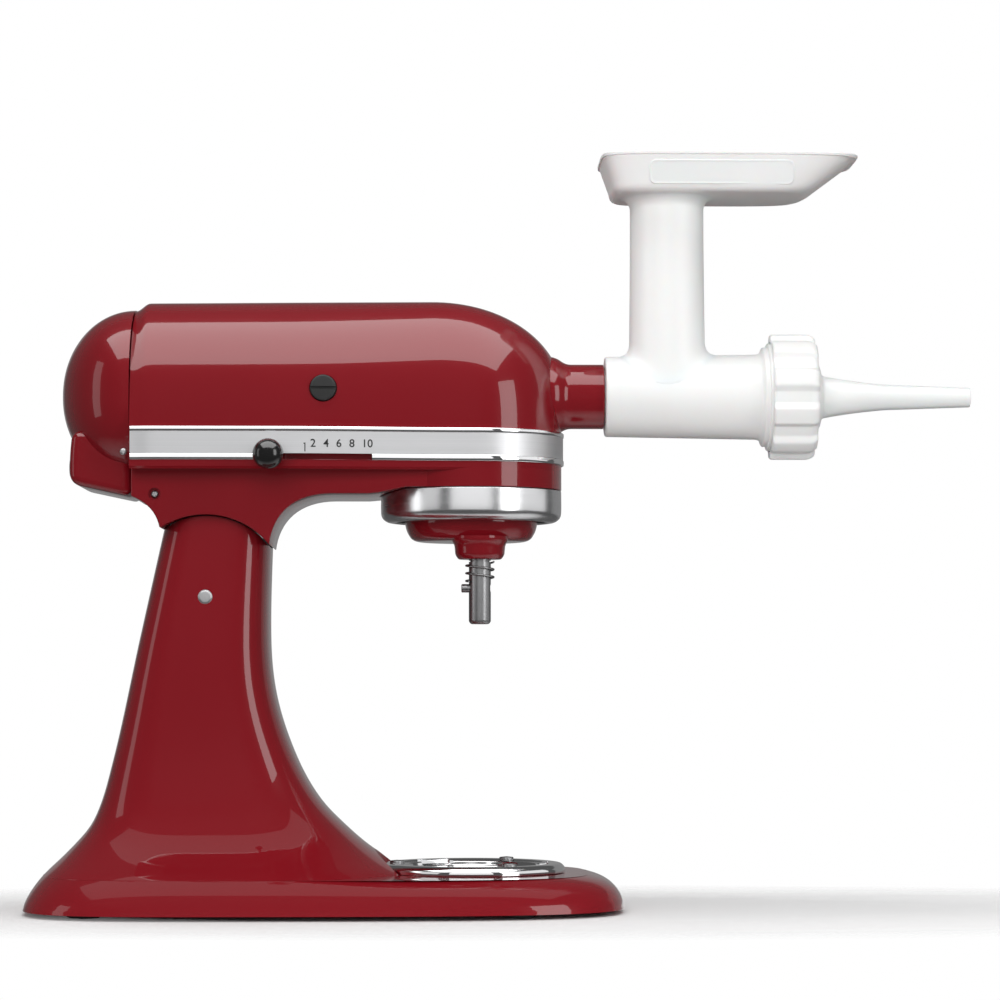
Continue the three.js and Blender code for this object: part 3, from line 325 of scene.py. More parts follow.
class Finish:
    """One procedural material on object coordinates."""

    def __init__(self, name, **constants):
        self.material = bpy.data.materials.new(name)
        self.material.use_nodes = True
        self.tree = self.material.node_tree
        self.shader = self.tree.nodes["Principled BSDF"]
        self.place = self.node("ShaderNodeTexCoord", output="Object")
        for key, value in constants.items():
            self.shader.inputs[key.replace("_", " ").title().replace("Ior", "IOR")].default_value = value

    def node(self, kind, settings=None, inputs=None, output=0):
        node = self.tree.nodes.new(kind)
        for key, value in (settings or {}).items():
            setattr(node, key, value)
        for key, value in (inputs or {}).items():
            if isinstance(value, Value):
                self.tree.links.new(value.socket, node.inputs[key])
            else:
                node.inputs[key].default_value = value
        return Value(self, node.outputs[output])

    def stretched(self, scale):
        return self.node("ShaderNodeMapping", {}, {"Vector": self.place, "Scale": scale})

    def noise(self, scale, detail=2.0, rough=0.5, place=None):
        inputs = {"Vector": place or self.place, "Scale": scale, "Detail": detail, "Roughness": rough}
        return self.node("ShaderNodeTexNoise", {}, inputs)

    def waves(self, scale, direction="X"):
        settings = {"wave_type": "BANDS", "bands_direction": direction}
        return self.node("ShaderNodeTexWave", settings, {"Vector": self.place, "Scale": scale})

    def blend(self, factor, first, second):
        inputs = {0: factor, 6: (*first, 1), 7: (*second, 1)}
        return self.node("ShaderNodeMix", {"data_type": "RGBA"}, inputs, output=2)

    def set(self, **values):
        for key, value in values.items():
            socket = self.shader.inputs[key.replace("_", " ").title()]
            self.tree.links.new(value.socket, socket)
        return self

    def bump(self, height, depth, strength=1.0):
        """Raises the surface by a height of 0 to 1 times a depth in millimetres."""
        inputs = {"Height": height, "Distance": depth * MM, "Strength": strength}
        bumped = self.node("ShaderNodeBump", {}, inputs, output="Normal")
        self.tree.links.new(bumped.socket, self.shader.inputs["Normal"])
        return self


def enamel():
    """Deep glossy paint on a casting, with a clear top coat and a trace of orange peel."""
    f = Finish("enamel_red", coat_weight=1.0, coat_roughness=0.02, coat_ior=1.5, specular_ior_level=0.12)
    drift = f.noise(7.0, 3.0)
    f.set(base_color=f.blend(drift, (0.205, 0.0060, 0.0110), (0.230, 0.0070, 0.0130)))
    f.set(roughness=0.22 + 0.07 * f.noise(30.0, 4.0))
    return f.bump(f.noise(420.0, 2.0), 0.006, 0.35).material


def polished_metal(name="polished_chrome", tone=0.80):
    f = Finish(name, metallic=1.0)
    smudge = f.noise(55.0, 5.0, 0.6)
    f.set(base_color=f.blend(smudge, (tone, tone, tone * 1.01), (tone * 0.94, tone * 0.945, tone * 0.955)))
    f.set(roughness=0.05 + 0.08 * smudge.sharpened(0.45, 0.75))
    return f.bump(f.noise(700.0, 1.0), 0.002, 0.3).material


def brushed_metal(name, tone, scale, rough=0.26, depth=0.01):
    """Fine scratches; the scale along an axis is small where they run and large across them."""
    f = Finish(name, metallic=1.0)
    scratches = f.noise(1.0, 3.0, 0.7, f.stretched(scale))
    light, dark = (tone, tone, tone * 1.015), (tone * 0.8, tone * 0.805, tone * 0.82)
    f.set(base_color=f.blend(scratches, dark, light))
    f.set(roughness=rough + 0.2 * scratches)
    return f.bump(scratches, depth, 0.6).material


def food_plastic():
    """White moulded plastic: satin, a little translucent, with the fine texture of its mould."""
    f = Finish("food_plastic", subsurface_weight=0.12, subsurface_scale=0.004, specular_ior_level=0.5)
    cloud = f.noise(24.0, 4.0)
    f.set(base_color=f.blend(cloud, (0.80, 0.805, 0.80), (0.86, 0.86, 0.85)))
    f.set(roughness=0.33 + 0.12 * f.noise(90.0, 4.0))
    grain = f.noise(1500.0, 2.0)
    return f.bump(grain, 0.02, 0.35).material


def gloss_black():
    f = Finish("gloss_black", coat_weight=0.6, coat_roughness=0.05)
    cloud = f.noise(60.0, 3.0)
    f.set(base_color=f.blend(cloud, (0.006, 0.006, 0.006), (0.012, 0.012, 0.012)))
    f.set(roughness=0.12 + 0.12 * cloud)
    return f.bump(f.noise(900.0, 1.0), 0.004, 0.3).material


def matte_black(name="matte_black", tone=0.018):
    f = Finish(name)
    cloud = f.noise(160.0, 4.0)
    f.set(base_color=f.blend(cloud, (tone, tone, tone), (tone * 1.8, tone * 1.8, tone * 1.8)))
    f.set(roughness=0.5 + 0.25 * cloud)
    return f.bump(f.noise(2200.0, 2.0), 0.03, 0.5).material


def rough_casting():
    f = Finish("bare_casting", metallic=0.85)
    sand = f.noise(900.0, 5.0, 0.7)
    f.set(base_color=f.blend(f.noise(40.0, 4.0), (0.30, 0.31, 0.32), (0.44, 0.45, 0.46)))
    f.set(roughness=0.45 + 0.3 * sand)
    return f.bump(sand, 0.08, 0.6).material


def banded_metal(name, light, dark, pitch, direction="X", rough=0.4):
    """Turns of wire, stacked sheets or copper bars: fine lines side by side."""
    f = Finish(name, metallic=0.9)
    lines = f.waves(math.pi / (10 * pitch * MM), direction)
    f.set(base_color=f.blend(lines, dark, light))
    f.set(roughness=rough + 0.2 * f.noise(300.0, 3.0))
    return f.bump(lines, 0.12, 0.8).material


def print_ink():
    f = Finish("dial_ink")
    speck = f.noise(2500.0, 2.0)
    f.set(base_color=f.blend(speck, (0.015, 0.015, 0.015), (0.03, 0.03, 0.03)))
    f.set(roughness=0.4 + 0.2 * speck)
    return f.material


def studio_paper():
    """Pale floor that melts into the white surround away from the machine."""
    f = Finish("studio_paper", specular_ior_level=0.2)
    fibre = f.noise(3.0, 4.0)
    f.set(base_color=f.blend(fibre, (0.88, 0.88, 0.88), (0.91, 0.91, 0.91)))
    f.set(roughness=0.55 + 0.2 * fibre)
    squeezed = f.stretched((1, 2.6, 1))
    away = f.node("ShaderNodeVectorMath", {"operation": "LENGTH"}, {0: squeezed}, output="Value")
    f.set(alpha=1 - away.sharpened(0.26, 0.62))
    return f.material


ENAMEL = enamel()
CHROME = polished_metal()
LIP = polished_metal("band_lip", 0.92)
BAND = brushed_metal("band_satin", 0.74, (6, 6, 2600), 0.34, 0.008)
RING = brushed_metal("ring_brushed", 0.80, (10, 10, 3200), 0.13, 0.006)
STEEL = brushed_metal("turned_steel", 0.32, (60, 60, 2200), 0.24, 0.01)
GROUND = brushed_metal("ground_steel", 0.5, (1500, 60, 60), 0.25, 0.01)
PIN = brushed_metal("satin_pin", 0.55, (900, 40, 900), 0.3, 0.01)
WHITE = food_plastic()
BLACK = gloss_black()
CAP = matte_black()
RUBBER = matte_black("foot_rubber", 0.025)
CARBON = matte_black("brush_carbon", 0.05)
CASTING = rough_casting()
WINDING = banded_metal("copper_winding", (0.62, 0.26, 0.12), (0.30, 0.11, 0.05), 0.8)
SHEETS = banded_metal("stacked_sheet", (0.34, 0.35, 0.36), (0.16, 0.165, 0.17), 0.6)
BRONZE = brushed_metal("gear_bronze", 0.5, (300, 300, 300), 0.3, 0.02)
INK = print_ink()
PAPER = studio_paper()


# ------------------------------------------------------------------ pedestal
# back, front and half width of the pedestal at each height, and the front end of the deck
BACK_LINE = [(2.5, -275.3), (10.8, -271.6), (22, -263.5), (34, -251), (52, -236), (87, -225), (157, -210),
             (235, -193)]
FRONT_LINE = [(21, -50), (34, -73), (46, -88), (63, -105), (87, -119), (122, -131), (157, -135),
              (235, -133.5)]
SIDE_LINE = [(2.5, 100), (12, 96), (21.5, 87.6), (30, 76.5), (44, 62), (63, 52.5), (95, 46.5), (157, 43.5),
             (235, 41)]
NOSE_LINE = [(2.5, 70), (8, 69), (14, 65.5), (18.5, 60), (21.5, 53)]


def outline(z, back, front, half, square_back, square_front, middle, count=144):
    """A rounded outline at one height."""
    ring = []
    for i in range(count):
        t = 2 * math.pi * i / count
        c, s = math.cos(t), math.sin(t)
        square = mix(square_back, square_front, ease((c + 0.35) / 0.7))
        reach = front - middle if c > 0 else middle - back
        ring.append((middle + reach * power(c, 2 / square), half * power(s, 2 / square), z))
    return ring


FOOT_MIDDLE = -150  # widest station of the base


def column_ring(z):
    back, front = faired(BACK_LINE, z), faired(FRONT_LINE, z)
    spread = ease((z - DECK) / 60)
    middle = mix(FOOT_MIDDLE, (back + front) / 2, spread)
    return outline(z, back, front, faired(SIDE_LINE, z), 3.7, mix(2.2, 3.6, spread), middle)


def deck_edge(ring, z):
    """Rounds the rim of the flat deck where the column doesn't rise from it."""
    near = min(1.0, max(0.0, (z - 12.5) / 9))
    draw = 4.2 * (1 - math.sqrt(1 - near * near))
    made = []
    for x, y, _ in ring:
        weight = ease((x + 125) / 85)
        along, across = (x + 60, y) if x > -60 else (0, y)
        length = math.hypot(along, across) or 1
        made.append((x - along / length * draw * weight, y - across / length * draw * weight, z))
    return made


def stand_casting():
    """Base and column painted as one: a flared pedestal that flows into a flat deck with a soft rim."""
    rings = [column_ring(mix(DECK + 0.25, 262, (i / 100) ** 1.2)) for i in range(100, -1, -1)]
    back, half, start = faired(BACK_LINE, DECK), faired(SIDE_LINE, DECK), faired(FRONT_LINE, DECK + 0.25)
    for i in range(1, 30):
        t = i / 29
        z = DECK + 0.25 * (1 - t) ** 2
        ring = outline(z, back, mix(start, 53, t), half, 3.7, mix(2.2, 3.6, t), FOOT_MIDDLE)
        rings.append([point if t < 1 else moved for point, moved in zip(ring, deck_edge(ring, DECK))])
    for i in range(1, 40):
        z = mix(DECK, 2.5, i / 39)
        ring = outline(z, faired(BACK_LINE, z), curve_value(NOSE_LINE, z), faired(SIDE_LINE, z), 3.7, 3.6,
                       FOOT_MIDDLE)
        rings.append(deck_edge(ring, z))
    for z, inset in ((2.5, 1.2), (2.5, 5.0), (6.0, 6.0), (9.0, 20.0)):
        rings.append(outline(z, BACK_LINE[0][1] + inset, 70 - inset, 100 - inset, 3.7, 3.6, FOOT_MIDDLE))
    shell = skin("stand_casting", rings)
    keep = rod("keep_round", SADDLE_R, -80, 80, (PIVOT.x, 0, PIVOT.z), "Y", 0, 192)
    lower = block("keep_low", (-320, -140, -20), (120, 140, PIVOT.z + 18))
    carve(keep, lower, operation="UNION")
    carve(shell, keep, operation="INTERSECT")
    lug_slot = block("lug_slot", (-205, -16, 165), (-138, 16, 262))
    bolts = [rod(f"bolt_way_{i}", 6.6, -4, 7.7, (-222, side, 0)) for i, side in enumerate((-38, 38))]
    well = rod("plate_seat", 56.2, DECK + 0.12, 60, (PLANET_X, 0, 0), "Z", 0, 160)
    carve(shell, lug_slot, *bolts, well)
    return smooth(shell, 30)


def saddle_shade_strip():
    """Painted shade: a dark strip that fills the gap between the column's round top and the head's neck, so
    that the gap shows as a dark shadow line.
    """
    rear, front = (math.acos((x - PIVOT.x) / SADDLE_R) for x in (-191.5, -135.5))
    rings = []
    for i in range(41):
        a = mix(rear, front, i / 40)
        corners = ((SADDLE_R - 0.3, -34), (SADDLE_R + 0.4, -34), (SADDLE_R + 0.4, 34), (SADDLE_R - 0.3, 34))
        rings.append([(PIVOT.x + r * math.cos(a), y, PIVOT.z + r * math.sin(a)) for r, y in corners])
    return smooth(skin("saddle_shade_strip", rings))


def bowl_plate():
    """Bright bayonet plate: rolled rim, stepped well and three entry notches with their ramps."""
    base = low("bowl_clamp_plate").z
    corners = [(0, base, 0), (54.8, base, 0.3), (54.8, base + 2.6, 1.2), (52.4, base + 5.2, 1.6),
               (45.6, base + 5.2, 1.2), (44.6, base + 4.2, 0.6), (40.2, base + 4.2, 0.9),
               (39.2, base + 1.4, 0.8),
               (0, base + 1.4, 0)]
    plate = turned("bowl_plate", corners, (PLANET_X, 0, 0), steps=144)
    for turn in (0, 120, 240):
        notch = block("notch", (36, -11, base + 1.9), (45, 11, base + 9), 1.2)
        around = Matrix.Rotation(math.radians(turn), 4, "Z")
        notch.data.transform(Matrix.Translation((PLANET_X * MM, 0, 0)) @ around)
        carve(plate, notch)
    return smooth(plate)


def slotted_screw(name, radius, top, height, at, slot=0.9):
    head = turned(name, [(0, top - height, 0), (radius, top - height, 0.2), (radius, top - 0.3, 0.5),
                         (0, top + 0.15, 0)], at, steps=40)
    groove = block("groove", (at[0] - radius - 1, at[1] - slot / 2, top - 0.7),
                   (at[0] + radius + 1, at[1] + slot / 2, top + 1))
    return smooth(carve(head, groove))


def foot(name, at):
    corners = [(0, 0, 0), (8.6, 0, 0.9), (10, 1.6, 0.8), (10, 5.7, 0.4), (0, 5.7, 0)]
    return turned(name, corners, at, steps=56)


def hinge_pin():
    end = -low("hinge_pin").y
    corners = [(0, -end, 0), (3.4, -end, 0.8), (4.4, -end + 1.0, 0.3), (4.4, end - 1.0, 0.3), (3.4, end, 0.8),
               (0, end, 0)]
    return turned("hinge_pin_turned", corners, (PIVOT.x, 0, PIVOT.z), "Y", 64)


# ------------------------------------------------------------------ head
def head_half(x):
    if x <= PLANET_X:
        shoulder = 1.2 * ease((-200 - x) / 13)
        return mix(NOSE_R, HALF_WIDTH, ease((PLANET_X - x) / 110)) - shoulder
    return NOSE_R * math.sqrt(max(0.0, 1 - ((x - PLANET_X) / NOSE_R) ** 2))


def head_top(x):
    if x > -40:
        return 300 + 54.2 * math.sqrt(max(0.0, 1 - ((x + 40) / 75.5) ** 2))
    return mix(354.2, 352.8, (-40 - x) / 170) - 4.5 * ease((-205 - x) / 8)


def head_ring(x, steps=84):
    half, rise = max(0.02, head_half(x)), head_top(x) - SHOULDER
    ring = [(x, -half, mix(SKIRT + 1.4, SHOULDER, i / 5)) for i in range(5)]
    for i in range(steps + 1):
        t = math.pi * i / steps
        y = -power(math.cos(t), 2 / 2.35) * half
        ring.append((x, y, SHOULDER + rise * math.sin(t) ** (2 / 2.35)))
    ring += [(x, half, mix(SHOULDER, SKIRT + 1.4, i / 5)) for i in range(1, 6)]
    inner = max(0.01, half - 1.4)
    return ring + [(x, inner, SKIRT), (x, -inner, SKIRT)]


def upper_shell():
    stations = [SEAM_X, SEAM_X + 0.25, SEAM_X + 0.8] + [SEAM_X + 1.6 + 1.4 * i for i in range(9)]
    stations += [mix(-197, PLANET_X, i / 44) for i in range(45)]
    stations += [PLANET_X + NOSE_R * math.sin(math.radians(90 * (i / 40) ** 0.9)) for i in range(1, 40)]
    stations.append(PLANET_X + NOSE_R * 0.99999)
    rings = [head_ring(x) for x in stations]
    rings[0] = [(x, y * 0.992, mix(z, 300, 0.008)) for x, y, z in rings[0]]
    return smooth(skin("upper_shell", rings), 40)


SCREW_WELL = Vector((-199.5, 239.2))  # where a screw sits low on each side of the neck, along X and Z


def case_screws():
    """Small bright screws: one in a well on each side of the neck, one at each rear end of the band."""
    screws = []
    for side in (-1, 1):
        for name, radius, x, z, depth, proud in (("neck", 2.3, SCREW_WELL.x, SCREW_WELL.y, 43.1, 1.6),
                                                 ("cover", 2.0, -216.2, 262.6, 57.6, 2.2)):
            corners = [(0, 0, 0), (radius, 0, 0.2), (radius, proud - 0.7, 0.5), (radius * 0.6, proud, 0.4),
                       (0, proud + 0.1, 0)]
            head = turned(f"{name}_screw_{side}", corners, (0, 0, 0), "Z", 40)
            for turn in (0, 1):
                cross = block("cross", (-1.3, -0.28, proud - 0.55), (1.3, 0.28, proud + 1), 0.05)
                cross.data.transform(Matrix.Rotation(turn * math.pi / 2, 4, "Z"))
                carve(head, cross)
            head.rotation_euler = (-side * math.pi / 2, 0, 0)
            head.location = Vector((x, side * depth, z)) * MM
            screws.append(smooth(settle(head)))
    return together("case_screws", *screws)


def underside():
    """Narrow belly of the head, with the neck that sits over the round top of the column."""
    r = SADDLE_R + 0.6
    rear, front = math.acos((-196.5 - PIVOT.x) / r), math.acos((-134 - PIVOT.x) / r)
    line = [(SEAM_X, 257), (SEAM_X, 238)]
    start, bend = Vector((SEAM_X, 238)), Vector((-199, 233))
    end = Vector((-196.5, PIVOT.z + r * math.sin(rear)))
    for i in range(1, 10):
        t = i / 10
        line.append(tuple(start * (1 - t) ** 2 + bend * 2 * t * (1 - t) + end * t * t))
    line += [(PIVOT.x + r * math.cos(a), PIVOT.z + r * math.sin(a))
             for a in (mix(rear, front, i / 32) for i in range(33))]
    a, b, c, d = Vector(line[-1]), Vector((-132, 228)), Vector((-120, UNDER_Z)), Vector((-98, UNDER_Z))
    for i in range(1, 17):
        t = i / 16
        line.append(tuple(a * (1 - t) ** 3 + b * 3 * t * (1 - t) ** 2 + c * 3 * t * t * (1 - t) + d * t ** 3))
    line += [(-78, UNDER_Z), (-72, UNDER_Z + 0.5), (-63, UNDER_Z + 2.4), (-56, RING_HIGH + 0.4),
             (-30, RING_HIGH + 0.45), (-30, 257)]
    rings = [[(x, y, z) for x, z in line] for y in (-UNDER_HALF, UNDER_HALF)]
    belly = skin("belly", rings)
    soften(belly, 3.2, 60, 5)
    nose = turned("nose_wall", [(46, RING_HIGH + 0.4, 0), (NOSE_R, RING_HIGH + 0.4, 0.5), (NOSE_R, 262, 0),
                                (46, 262, 0), (46, RING_HIGH + 0.4, 0)], (PLANET_X, 0, 0), steps=160)
    recess = rod("ring_room", 53.9, 200, RING_HIGH + 0.45, (PLANET_X, 0, 0), "Z", 0, 128)
    slot = block("lock_slot", (-186, 38, 243.9), (-160, 60, 248.1), 0.8)
    wells = [rod(f"screw_well_{side}", 3.5, min(side * 43, side * 48), max(side * 43, side * 48),
                 (SCREW_WELL.x, 0, SCREW_WELL.y), "Y", 0, 40) for side in (-1, 1)]
    carve(belly, recess, slot, *wells)
    return smooth(belly, 30), nose


def hub():
    """Round boss on the nose that takes attachments, with a fillet where it grows out of the casting."""
    end = high("head_casing").x
    corners = [(0, 18, 0), (25, 18, 0), (23, 31.5, 3.0), (18.9, 37.6, 3.0), (18.9, end, 0.8),
               (16.3, end, 0.5), (16.3, 36, 0), (0, 36, 0)]
    boss = turned("hub_boss", corners, (0, 0, HUB_Z), "X", 112, 8)
    screw_way = rod("screw_way", 3.6, 10, 26, (47, 0, HUB_Z), "Y", 0, 24)
    return smooth(carve(boss, screw_way))


def hinge_lug():
    """Tongue that reaches down into the column and turns on the hinge pin."""
    eye = rod("hinge_eye", 13, -15.4, 15.4, (PIVOT.x, 0, PIVOT.z), "Y", 0.8, 64)
    side = ((-4, 6), (11, 0), (28, 51), (4, 51))
    web = skin("hinge_web", [[(PIVOT.x + dx, y, PIVOT.z + dz) for dx, dz in side] for y in (-15.4, 15.4)])
    return together("hinge_lug", eye, smooth(web, 30))


def head_casing():
    shell = upper_shell()
    # wells for the brush caps and the slot that the speed lever runs in
    wells = [rod("cap_well", 7.9, start, start + 20, (CAP_X, 0, HUB_Z), "Y", 0, 48) for start in (50, -70)]
    run = block("speed_run", (-138, -70, 258.2), (-75, -50, 261.6))
    carve(shell, *wells, run)
    belly, nose = underside()
    return together("head_shell", smooth(shell, 40), belly, nose, hub(), hinge_lug())


def band_path(offset, steps=40):
    """Top view of the line round the head at a distance from the casting."""
    xs = [mix(SEAM_X + 0.6, PLANET_X, i / 70) for i in range(70)]
    side = [(x, -(head_half(x) + offset)) for x in xs]
    nose = [(PLANET_X + (NOSE_R + offset) * math.cos(a), (NOSE_R + offset) * math.sin(a))
            for a in (math.radians(mix(-90, 90, i / steps)) for i in range(steps + 1))]
    return side + nose + [(x, -y) for x, y in reversed(side)]


def band_strip(name, section, steps=48):
    """Sweeps a section of (offset from the casting, height) corners round the head."""
    paths = [band_path(offset, steps) for offset, _ in section]
    rings = [[(*path[i], z) for path, (_, z) in zip(paths, section)] for i in range(len(paths[0]))]
    return smooth(skin(name, rings), 30)


def trim_band():
    low_z, high_z = BAND_LOW, BAND_HIGH
    field = band_strip("band_field", [(0.3, low_z + 3.4), (1.05, low_z + 3.4), (1.05, high_z - 2.8),
                                      (0.3, high_z - 2.8)])
    top_lip = [(0.3, high_z - 2.9, 0), (1.2, high_z - 2.9, 0.4), (1.6, high_z - 1.5, 0.6), (1.3, high_z, 0.5),
               (0.3, high_z, 0)]
    upper = band_strip("band_upper_lip", rounded(top_lip, 3))
    low_lip = [(0.3, low_z, 0), (1.3, low_z, 0.5), (1.55, low_z + 1.8, 0.6), (1.15, low_z + 3.5, 0.4),
               (0.3, low_z + 3.5, 0)]
    lower = band_strip("band_lower_lip", rounded(low_lip, 3))
    for strip in (field, lower):
        carve(strip, block("band_run", (-138, -70, 258.2), (-75, -50, 261.6)))
        smooth(strip, 30)
    return field, together("band_lips", upper, lower)


def dial_marks():
    """Speed numbers printed on the band above the lever's slot."""
    marks = []
    for text, x in (("2", -108.5), ("4", -101.1), ("6", -93.9), ("8", -86.5), ("10", -77.8)):
        deselect()
        bpy.ops.object.text_add()
        mark = bpy.context.object
        mark.data.body = text
        mark.data.size = 6.4 * MM
        mark.data.extrude = 0.03 * MM
        mark.data.offset = 0.07 * MM
        mark.data.align_x, mark.data.align_y = "CENTER", "CENTER"
        bpy.ops.object.convert(target="MESH")
        lean = math.atan2(head_half(x + 1) - head_half(x - 1), 2)
        mark.rotation_euler = (math.pi / 2, 0, -lean)
        mark.location = Vector((x, -(head_half(x) + 1.1), 267.2)) * MM
        marks.append(settle(mark))
    tick_y = -(head_half(-112.5) + 1.1)
    marks.append(block("dial_tick", (-113.4, tick_y - 0.03, 262.6), (-112.8, tick_y + 0.3, 267.6)))
    marks.append(block("dial_tick_top", (-115.2, tick_y - 0.03, 267.0), (-112.8, tick_y + 0.3, 267.6)))
    return together("dial_marks", *marks)


def end_cover():
    """Domed rear cover and the squarer box below it."""
    back = SEAM_X - 0.3
    rings = []
    for i in range(41):
        a = math.radians(89.2 * (i / 40) ** 0.85)
        ring = []
        for k in range(120):
            t = 2 * math.pi * k / 120
            c, s = math.cos(t), math.sin(t)
            ring.append((back - 43.1 * math.sin(a), 60.4 * math.cos(a) * power(c, 2 / 2.35),
                         298 + 50.4 * math.cos(a) * power(s, 2 / 2.35)))
        rings.append(ring)
    dome = skin("cover_dome", rings)
    corners = [(back, 276, 0), (-247.6, 276, 0), (-248.9, 262, 6), (-248.9, 245.6, 7), (back, 238, 0)]
    side = rounded(corners, 8)
    lower = skin("cover_box", [[(x, y, z) for x, z in side] for y in (-40, 40)])
    soften(lower, 5, 50, 5)
    inlet = rod("inlet_way", 5.4, -262, -240, (0, 0, 257), "X", 0, 32)
    carve(lower, inlet)
    return smooth(together("rear_cover", dome, lower), 40)


def cord_inlet():
    corners = [(0, -252.5, 0), (2.6, -252.5, 0.3), (2.6, -247, 0), (0, -247, 0)]
    bore = turned("inlet_bore", corners, (0, 0, 257), "X", 40)
    corners = [(0, -252.4, 0), (5.6, -252.4, 1.4), (6.5, -249.4, 0.6), (4.8, -249.3, 0), (4.8, -242, 0.5),
               (0, -242, 0)]
    inlet = turned("cord_inlet", corners, (0, 0, 257), "X", 56)
    return smooth(carve(inlet, bore))


def brush_cap(name, side):
    rim = high("brush_cap_left").y if side > 0 else -low("brush_cap_right").y
    corners = [(0, 33, 0), (3.4, 33, 0.4), (3.4, 56.6, 0), (7.4, 56.6, 0.3), (7.4, rim - 0.1, 1.1),
               (0, rim, 0)]
    cap = turned(name, corners, (0, 0, 0), "Z", 64)
    groove = block("cap_groove", (-9, -0.75, rim - 1.3), (9, 0.75, rim + 2), 0.2)
    carve(cap, groove)
    cap.rotation_euler = (-side * math.pi / 2, 0, 0)
    cap.location = Vector((CAP_X, 0, HUB_Z)) * MM
    return smooth(settle(cap))


def ball_knob(name, node, radius, side):
    """Ball on a short collar, pushed on a flat arm."""
    start = high(node).y if side < 0 else low(node).y
    middle = centre(node)
    corners = [(0, 0, 0), (radius * 0.45, 0, 0.3), (radius * 0.62, 1.8, 0.8)]
    for i in range(25):
        a = mix(-0.82, math.pi / 2, i / 24)
        out = radius * math.cos(a) if i < 24 else 0
        corners.append((out, 2 + radius * 0.65 + radius * 0.95 * math.sin(a), 0))
    ball = turned(name, corners, (0, 0, 0), "Z", 72)
    ball.rotation_euler = (-side * math.pi / 2, 0, 0)
    ball.location = Vector((middle.x, start, middle.z)) * MM
    return smooth(settle(ball))


def hub_screw():
    """Fluted thumb screw that holds an attachment in the hub."""
    corners = [(0, 16.6, 0), (2.8, 16.6, 0.4), (2.8, 22, 0), (7.2, 22.2, 0.8), (9.5, 24.8, 0.8),
               (9.5, 31.2, 1.4), (7.6, 34, 1.2), (0, 34.6, 0)]
    knob = turned("hub_screw_knob", corners, (0, 0, 0), "Z", 96)
    for i in range(10):
        a = 2 * math.pi * i / 10
        carve(knob, rod("flute", 1.8, 23.6, 37, (10.6 * math.cos(a), 10.6 * math.sin(a), 0), "Z", 0, 24))
    knob.rotation_euler = (-math.pi / 2, 0, 0)
    knob.location = Vector((47, 0, HUB_Z)) * MM
    return smooth(settle(knob))


# ------------------------------------------------------------------ planetary and beater shaft
def drip_ring():
    base, top = low("drip_ring").z, high("drip_ring").z
    corners = [(49.4, top, 0.2), (52.7, top, 0.5), (52.8, base + 9, 0), (52.6, base + 3.4, 2.6),
               (49.4, base + 0.5, 2.6), (45.2, base, 0.9), (44.7, base + 1.5, 0.6), (48.4, base + 2.4, 2),
               (50.6, base + 6, 2), (50.6, top - 2.2, 0.6), (49.4, top - 1.4, 0.2), (49.4, top, 0)]
    return turned("drip_ring_polished", corners, (PLANET_X, 0, 0), steps=160, fillet_steps=7)


def planetary():
    top = 227.6
    corners = [(0, top, 0), (38.6, top, 0.6), (38.8, top - 3, 1.5), (37.6, 219.5, 2.5), (34.0, 213.7, 5.5),
               (20, 213.4, 0), (0, 213.4, 0)]
    disc = turned("planetary_disc", corners, (PLANET_X, 0, 0), steps=144, fillet_steps=10)
    corners = [(0, 202.6, 0), (12.4, 202.6, 1.2), (14.2, 205.4, 1), (14.7, 211, 1.5), (16.6, 213.9, 1.5),
               (16.6, 216, 0), (0, 216, 0)]
    boss = turned("planetary_boss", corners, (BEATER.x, BEATER.y, 0), steps=96)
    hub_top = rod("planetary_hub", 10.5, 226, 238, (PLANET_X, 0, 0))
    way = rod("shaft_way", 6.55, 195, 212, (BEATER.x, BEATER.y, 0), "Z", 0, 48)
    carve(boss, way)
    return smooth(together("planetary_body", disc, smooth(boss), hub_top), 40)


def beater_shaft():
    end = low("beater_shaft").z
    corners = [(0, end, 0), (5.2, end, 0.9), (6.35, end + 1.6, 0.6), (6.35, 213, 0), (0, 213, 0)]
    shaft = turned("beater_shaft_turned", corners, (BEATER.x, BEATER.y, 0), steps=80)
    corners = [(5.6, 201.2, 0), (9, 201.2, 0), (9, 202, 0), (5.6, 202, 0), (5.6, 201.2, 0)]
    groove = turned("clip_groove", corners, (BEATER.x, BEATER.y, 0), steps=64)
    carve(shaft, groove, rod("pin_way", 2.4, -12, 12, (BEATER.x, BEATER.y, 186), "X", 0, 32))
    return smooth(shaft)


def beater_pin():
    a, b = low("beater_pin"), high("beater_pin")
    tip = a.x + 1.3
    step = BEATER.x - 2
    corners = [(0, tip, 0), (2.45, tip, 0.8), (2.45, step, 0), (2.15, step, 0), (2.15, b.x, 0.7), (0, b.x, 0)]
    return turned("beater_pin_turned", corners, (0, BEATER.y, 186), "X", 40)


def coil_spring(name, node, wire, turns):
    """Round wire wound in even turns, its ends lying flat."""
    a, b = low(node), high(node)
    radius = (b.x - a.x) / 2 - wire
    steps = int(turns * 36)
    rings = []
    for i in range(steps + 1):
        t = i / steps
        angle = 2 * math.pi * turns * t
        z = mix(b.z - wire, a.z + wire, t)
        out = Vector((math.cos(angle), math.sin(angle), 0))
        middle = Vector((BEATER.x, BEATER.y, z)) + out * radius
        ring = []
        for k in range(12):
            phi = 2 * math.pi * k / 12
            ring.append(tuple(middle + out * wire * math.cos(phi) + Vector((0, 0, wire * math.sin(phi)))))
        rings.append(ring)
    return smooth(skin(name, rings), 60)


